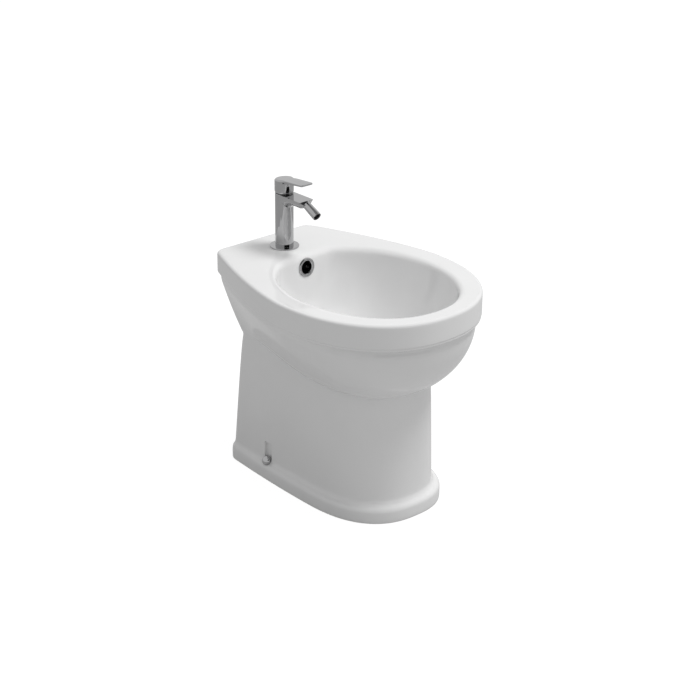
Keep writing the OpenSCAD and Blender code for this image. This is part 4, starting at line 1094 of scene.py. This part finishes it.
class BIDET_OT_trim(bpy.types.Operator):
    """Build the turned chrome trim: overflow ring, plug cap and the caps of the floor fixings"""

    bl_idname = "bidet.trim"
    bl_label = "Chrome trim"

    def execute(self, context):
        m, c = mixer(), casting()
        overflow_ring(m, c)
        plug_cap(m, c)
        fixing_caps(m, c)
        return {"FINISHED"}


# ---------------------------------------------------------------- finishes


def material(name):
    """A node material with its nodes, links and Principled shader, or the one made before and no nodes."""
    name += "_finish"
    found = bpy.data.materials.get(name)
    if found:
        return found, None, None, None
    made = bpy.data.materials.new(name)
    made.use_nodes = True
    nodes, links = made.node_tree.nodes, made.node_tree.links
    return made, nodes, links, nodes["Principled BSDF"]


def object_place(nodes):
    """Object coordinates, in metres."""
    return nodes.new("ShaderNodeTexCoord").outputs["Object"]


def object_noise(nodes, links, scale, detail, roughness=0.5):
    """Noise on Object coordinates, whose scale is in cells a metre."""
    noise = nodes.new("ShaderNodeTexNoise")
    noise.inputs["Scale"].default_value = scale
    noise.inputs["Detail"].default_value = detail
    noise.inputs["Roughness"].default_value = roughness
    links.new(object_place(nodes), noise.inputs["Vector"])
    return noise.outputs["Fac"]


def ranged(nodes, links, source, to_range, from_range=(0.3, 0.7)):
    """A value carried from one range to another. Noise stays between 0.3 and 0.7 for the most part."""
    change = nodes.new("ShaderNodeMapRange")
    for end, low_high in (("From", from_range), ("To", to_range)):
        change.inputs[end + " Min"].default_value = low_high[0]
        change.inputs[end + " Max"].default_value = low_high[1]
    links.new(source, change.inputs["Value"])
    return change.outputs["Result"]


def mixed(nodes, links, factor, first, second):
    """A colour between two, by a factor. Each of the two is a socket or a plain colour."""
    mix = nodes.new("ShaderNodeMix")
    mix.data_type = "RGBA"
    links.new(factor, mix.inputs["Factor"])
    for name, value in (("A", first), ("B", second)):
        if isinstance(value, bpy.types.NodeSocket):
            links.new(value, mix.inputs[name])
        else:
            mix.inputs[name].default_value = (*value, 1)
    return mix.outputs["Result"]


def clouded(nodes, links, noise, value, dark, light):
    """A colour that goes from a darker to a lighter shade of itself with the noise."""
    first, second = (tuple(min(1.0, part * by) for part in value) for by in (dark, light))
    return mixed(nodes, links, ranged(nodes, links, noise, (0, 1)), first, second)


def bumped(nodes, links, shader, height, distance, strength):
    """Height as bump on the shader, with its depth in metres."""
    bump = nodes.new("ShaderNodeBump")
    bump.inputs["Distance"].default_value = distance
    bump.inputs["Strength"].default_value = strength
    links.new(height, bump.inputs["Height"])
    links.new(bump.outputs["Normal"], shader.inputs["Normal"])


def duct_shade_mask(nodes, links, split):
    """1 where shade is painted inside the overflow duct, where no light reaches: near its upright axis and
    below the deck.
    """
    c = casting()
    flat = nodes.new("ShaderNodeCombineXYZ")
    links.new(split.outputs["X"], flat.inputs["X"])
    links.new(split.outputs["Y"], flat.inputs["Y"])
    off_axis = nodes.new("ShaderNodeVectorMath")
    off_axis.operation = "DISTANCE"
    links.new(flat.outputs["Vector"], off_axis.inputs[0])
    off_axis.inputs[1].default_value = (0, (rear_edge(c) + DUCT_BEHIND) * MM, 0)
    both = nodes.new("ShaderNodeMath")
    both.operation = "MULTIPLY"
    near = ranged(nodes, links, off_axis.outputs["Value"], (1, 0), (0.0135, 0.0155))
    deck_low = (c.rim_h - c.deck_t) * MM
    links.new(near, both.inputs[0])
    links.new(ranged(nodes, links, split.outputs["Z"], (1, 0), (deck_low, deck_low + 0.002)), both.inputs[1])
    return both.outputs[0]


def glaze():
    """White glaze over fired clay: glossy, with a faint wave in its surface, a trace of thinner and thicker
    glaze in its colour, bare clay under the foot and painted shade, near black, inside the overflow duct."""
    made, nodes, links, shader = material("glaze")
    if nodes is None:
        return made
    colours = finish_colours()
    tone = clouded(nodes, links, object_noise(nodes, links, 9.0, 3.0), colours.glaze, 0.985, 1.01)
    split = nodes.new("ShaderNodeSeparateXYZ")
    links.new(object_place(nodes), split.inputs["Vector"])
    bare = ranged(nodes, links, split.outputs["Z"], (1, 0), (0.0004, 0.0014))
    # painted shade: the glaze turns near black inside the overflow duct, standing in for the shade there
    tone = mixed(nodes, links, duct_shade_mask(nodes, links, split), tone, (0.015, 0.015, 0.015))
    tone = mixed(nodes, links, bare, tone, colours.biscuit)
    links.new(tone, shader.inputs["Base Color"])
    links.new(ranged(nodes, links, bare, (0.07, 0.8), (0, 1)), shader.inputs["Roughness"])
    shader.inputs["IOR"].default_value = 1.5
    bumped(nodes, links, shader, object_noise(nodes, links, 45.0, 1.0), 0.0001, 0.35)
    return made


def chrome():
    """Polished chrome on brass: a mirror with a trace of smear in its roughness."""
    made, nodes, links, shader = material("chrome")
    if nodes is None:
        return made
    shader.inputs["Metallic"].default_value = 1.0
    smear = object_noise(nodes, links, 60.0, 4.0, 0.6)
    links.new(ranged(nodes, links, smear, (0.035, 0.075)), shader.inputs["Roughness"])
    links.new(clouded(nodes, links, smear, finish_colours().chrome, 0.98, 1.02), shader.inputs["Base Color"])
    return made


def grained(name, value, rough, grain, depth, strength, cloud, metallic=0.0, detail=4.0, fine=0.6):
    """A plain finish: one fine noise gives its roughness, a slight cloud in its colour and its bump."""
    made, nodes, links, shader = material(name)
    if nodes is None:
        return made
    shader.inputs["Metallic"].default_value = metallic
    noise = object_noise(nodes, links, grain, detail, fine)
    links.new(ranged(nodes, links, noise, rough), shader.inputs["Roughness"])
    links.new(clouded(nodes, links, noise, value, *cloud), shader.inputs["Base Color"])
    bumped(nodes, links, shader, noise, depth, strength)
    return made


def metal(name, value, rough, grain):
    """Bare metal."""
    return grained(name, value, rough, grain, 0.00002, 0.5, (0.93, 1.05), 1.0, 5.0, 0.65)


def moulded(name, value, rough, grain, depth):
    """Rubber, moulded plastic or ground ceramic."""
    return grained(name, value, rough, grain, depth, 0.6, (0.9, 1.1))


class BIDET_OT_finishes(bpy.types.Operator):
    """Give every CAD node that still shows its own finish"""

    bl_idname = "bidet.finishes"
    bl_label = "Finishes"

    def execute(self, context):
        k = finish_colours()
        finishes = {
            chrome(): ["tap_body", "tap_base_ring", "lever_handle", "nozzle_ball_stud", "nozzle_housing",
                       "waste_body", "plug_cap", "overflow_ring", "fixing_caps"],
            metal("steel", k.steel, (0.22, 0.36), 700): [
                "lever_pivot_pin", "lever_stem", "lever_grub_screw", "tap_stud", "tap_steel_saddle",
                "plug_spindle", "plug_spring", "fixing_screws"],
            metal("raw_brass", k.brass, (0.25, 0.4), 500): [
                "cartridge_nut", "tap_stud_nut", "waste_back_nut"],
            moulded("rubber", k.rubber, (0.5, 0.7), 900, 0.00005): [
                "tap_base_seal", "cartridge_seals", "nozzle_seal", "tap_rubber_saddle", "waste_upper_seal",
                "waste_lower_seal", "plug_seal"],
            moulded("plastic_dark", k.plastic_dark, (0.35, 0.5), 1400, 0.00003): [
                "glide_ring", "lever_plug", "nozzle_collar", "aerator_insert", "plug_latch"],
            moulded("plastic_grey", k.plastic_grey, (0.35, 0.5), 1400, 0.00003): ["spindle_carrier"],
            moulded("plastic_white", k.plastic_white, (0.3, 0.45), 1200, 0.00003): [
                "cartridge_case", "nozzle_seat_ring", "fixing_brackets", "fixing_washers"],
            moulded("disc_ceramic", k.disc, (0.15, 0.25), 800, 0.00001): ["fixed_disc", "moving_disc"],
            glaze(): ["ceramic_body"],
        }
        named = {node for nodes in finishes.values() for node in nodes}
        missing = set(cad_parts) ^ named
        if missing:
            raise RuntimeError("no finish, or no node, for " + ", ".join(sorted(missing)))
        for finish, nodes in finishes.items():
            for node in nodes:
                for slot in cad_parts[node].material_slots:
                    slot.material = finish
        return {"FINISHED"}


# ---------------------------------------------------------------- the stage

# camera: lens and sensor in millimetres, place in metres, azimuth, elevation and roll in degrees
LENS = 97.62
SENSOR = 36.0
CAMERA_AT = (-2.0314, -2.2759, 1.6026)
CAMERA_TURN = (-41.73, 23.81, 0.53)
# floor: half its side, and how far it lies below the foot, in metres
FLOOR_HALF = 6.0
FLOOR_DROP = 0.0002
# point that the lamp faces, in metres
LIGHT_AIM = (0, 0, 0.2)
# strength of floor and world to the camera, to mirrors, and the world's light on the object
FLOOR_SEEN, FLOOR_MIRRORED = 0.92, 0.38
WORLD_SEEN, WORLD_MIRRORED, WORLD_LIGHT = 1.0, 0.8, 0.475


def by_ray(tree, output, plain, seen, mirrored):
    """Wires an output to what camera and transmission rays see, what mirrors show and what gives light."""
    nodes, links = tree.nodes, tree.links
    path = nodes.new("ShaderNodeLightPath")
    either = nodes.new("ShaderNodeMath")
    either.operation = "MAXIMUM"
    links.new(path.outputs["Is Camera Ray"], either.inputs[0])
    links.new(path.outputs["Is Transmission Ray"], either.inputs[1])
    shader = plain
    for factor, shown in ((path.outputs["Is Glossy Ray"], mirrored), (either.outputs[0], seen)):
        mix = nodes.new("ShaderNodeMixShader")
        links.new(factor, mix.inputs["Fac"])
        links.new(shader, mix.inputs[1])
        links.new(shown, mix.inputs[2])
        shader = mix.outputs[0]
    links.new(shader, nodes[output].inputs["Surface"])


def shader_node(nodes, kind, grey, strength=None):
    """The output of a shader node with a grey colour and, if it shines, its strength."""
    made = nodes.new("ShaderNode" + kind)
    made.inputs["Color"].default_value = (grey, grey, grey, 1)
    if strength is not None:
        made.inputs["Strength"].default_value = strength
    return made.outputs[0]


def sheet(name, half_w, half_h):
    """A flat sheet of the stage, with an empty material."""
    mesh = bpy.data.meshes.new(name)
    corners = [(-half_w, -half_h, 0), (half_w, -half_h, 0), (half_w, half_h, 0), (-half_w, half_h, 0)]
    mesh.from_pydata(corners, [], [(0, 1, 2, 3)])
    made = bpy.data.materials.new(name)
    made.use_nodes = True
    made.node_tree.nodes.remove(made.node_tree.nodes["Principled BSDF"])
    mesh.materials.append(made)
    piece = bpy.data.objects.new(name, mesh)
    bpy.context.scene.collection.objects.link(piece)
    return piece, made.node_tree


def aimed(piece, place, target, forward):
    """Puts an object at a point and turns one of its axes to another point."""
    piece.location = place
    piece.rotation_mode = "QUATERNION"
    piece.rotation_quaternion = (Vector(target) - Vector(place)).to_track_quat(forward, "Y")


def dark_card(name, place, target, size, strength):
    """A dim board that only mirrors see: it gives polished metal its dark streaks."""
    board, tree = sheet(name, size[0] / 2, size[1] / 2)
    aimed(board, place, target, "Z")
    glow = shader_node(tree.nodes, "Emission", 1.0, strength)
    tree.links.new(glow, tree.nodes["Material Output"].inputs["Surface"])
    board.visible_camera = False
    board.visible_diffuse = False
    board.visible_shadow = False
    board.visible_transmission = False


def area_light(name, place, target, size, power):
    """A soft square lamp at a point, turned to face another, that lights and isn't seen."""
    lamp = bpy.data.lights.new(name, "AREA")
    lamp.shape = "RECTANGLE"
    lamp.size = size
    lamp.size_y = size
    lamp.energy = power
    piece = bpy.data.objects.new(name, lamp)
    aimed(piece, place, target, "-Z")
    piece.visible_camera = False
    piece.visible_glossy = False
    bpy.context.scene.collection.objects.link(piece)


def photo_camera():
    """The camera at the photograph's angle: azimuth, elevation and roll turn its three axes."""
    lens = bpy.data.cameras.new("camera")
    lens.lens = LENS
    lens.sensor_width = SENSOR
    lens.clip_start = 0.1
    lens.clip_end = 50.0
    camera = bpy.data.objects.new("camera", lens)
    bpy.context.scene.collection.objects.link(camera)
    azimuth, height, roll = (math.radians(v) for v in CAMERA_TURN)
    level_back = Vector((math.sin(azimuth), -math.cos(azimuth), 0)) * math.cos(height)
    back = level_back + Vector((0, 0, math.sin(height)))
    right = Vector((math.cos(azimuth), math.sin(azimuth), 0))
    up = back.cross(right)
    across = math.cos(roll) * right + math.sin(roll) * up
    upward = -math.sin(roll) * right + math.cos(roll) * up
    turn = Matrix((across, upward, back)).transposed().to_4x4()
    camera.matrix_world = Matrix.Translation(CAMERA_AT) @ turn
    bpy.context.scene.camera = camera


def paper_floor():
    """A pale floor that keeps the object's shadow and looks white to the camera."""
    floor, tree = sheet("floor", FLOOR_HALF, FLOOR_HALF)
    floor.location = (0, 0, -FLOOR_DROP)
    paint = shader_node(tree.nodes, "BsdfDiffuse", 0.57)
    dim = shader_node(tree.nodes, "BsdfDiffuse", 0.2)
    shown = []
    for strength in (FLOOR_SEEN, FLOOR_MIRRORED):
        added = tree.nodes.new("ShaderNodeAddShader")
        tree.links.new(shader_node(tree.nodes, "Emission", 1.0, strength), added.inputs[0])
        tree.links.new(dim, added.inputs[1])
        shown.append(added.outputs[0])
    by_ray(tree, "Material Output", paint, *shown)


def studio_world():
    """Even light from all round, white to the camera and a little less in mirrors."""
    world = bpy.data.worlds.new("studio")
    bpy.context.scene.world = world
    world.use_nodes = True
    tree = world.node_tree
    tree.nodes.remove(tree.nodes["Background"])
    strengths = (WORLD_LIGHT, WORLD_SEEN, WORLD_MIRRORED)
    by_ray(tree, "World Output", *(shader_node(tree.nodes, "Background", 1.0, value) for value in strengths))


class BIDET_OT_stage(bpy.types.Operator):
    """Set the camera at the photograph's angle, the pale floor and the soft studio light"""

    bl_idname = "bidet.stage"
    bl_label = "Stage"

    def execute(self, context):
        photo_camera()
        paper_floor()
        studio_world()
        dark_card("front_board", (-0.25, -1.3, 1.15), (0, 0.18, 0.5), (2.0, 0.8), 0.01)
        dark_card("top_board", (0.1, 0.0, 2.1), (0, 0.1, 0.5), (1.9, 1.5), 0.28)
        area_light("main", (1.7, -1.4, 4.8), LIGHT_AIM, 1.8, 146)
        context.scene.view_settings.view_transform = "Standard"
        return {"FINISHED"}


# ---------------------------------------------------------------- add-on


class BIDET_PT_panel(bpy.types.Panel):
    """Pieces of the bidet in build order"""

    bl_label = "Floor standing bidet"
    bl_idname = "BIDET_PT_panel"
    bl_space_type = "VIEW_3D"
    bl_region_type = "UI"
    bl_category = "Bidet"

    def draw(self, context):
        for operator in OPERATORS:
            self.layout.operator(operator.bl_idname)
        for group in ("bidet_casting", "bidet_mixer", "bidet_finish"):
            box = self.layout.box()
            values = getattr(context.scene, group)
            for name in values.bl_rna.properties.keys():
                if name not in ("rna_type", "name"):
                    box.prop(values, name)


OPERATORS = (
    BIDET_OT_finishes,
    BIDET_OT_casting,
    BIDET_OT_mixer_body,
    BIDET_OT_lever,
    BIDET_OT_nozzle,
    BIDET_OT_trim,
    BIDET_OT_stage,
)
GROUPS = {"bidet_casting": BidetCasting, "bidet_mixer": BidetMixer, "bidet_finish": BidetFinish}


def register():
    for group in GROUPS.values():
        bpy.utils.register_class(group)
    for name, group in GROUPS.items():
        setattr(bpy.types.Scene, name, PointerProperty(type=group))
    for operator in OPERATORS:
        bpy.utils.register_class(operator)
    bpy.utils.register_class(BIDET_PT_panel)


def unregister():
    bpy.utils.unregister_class(BIDET_PT_panel)
    for operator in reversed(OPERATORS):
        bpy.utils.unregister_class(operator)
    for name, group in GROUPS.items():
        delattr(bpy.types.Scene, name)
        bpy.utils.unregister_class(group)


def main():
    register()
    for operator in OPERATORS:
        group, name = operator.bl_idname.split(".")
        result = getattr(getattr(bpy.ops, group), name)()
        if result != {"FINISHED"}:
            raise RuntimeError(f"{operator.bl_label} did not finish")


if __name__ == "__main__":
    main()
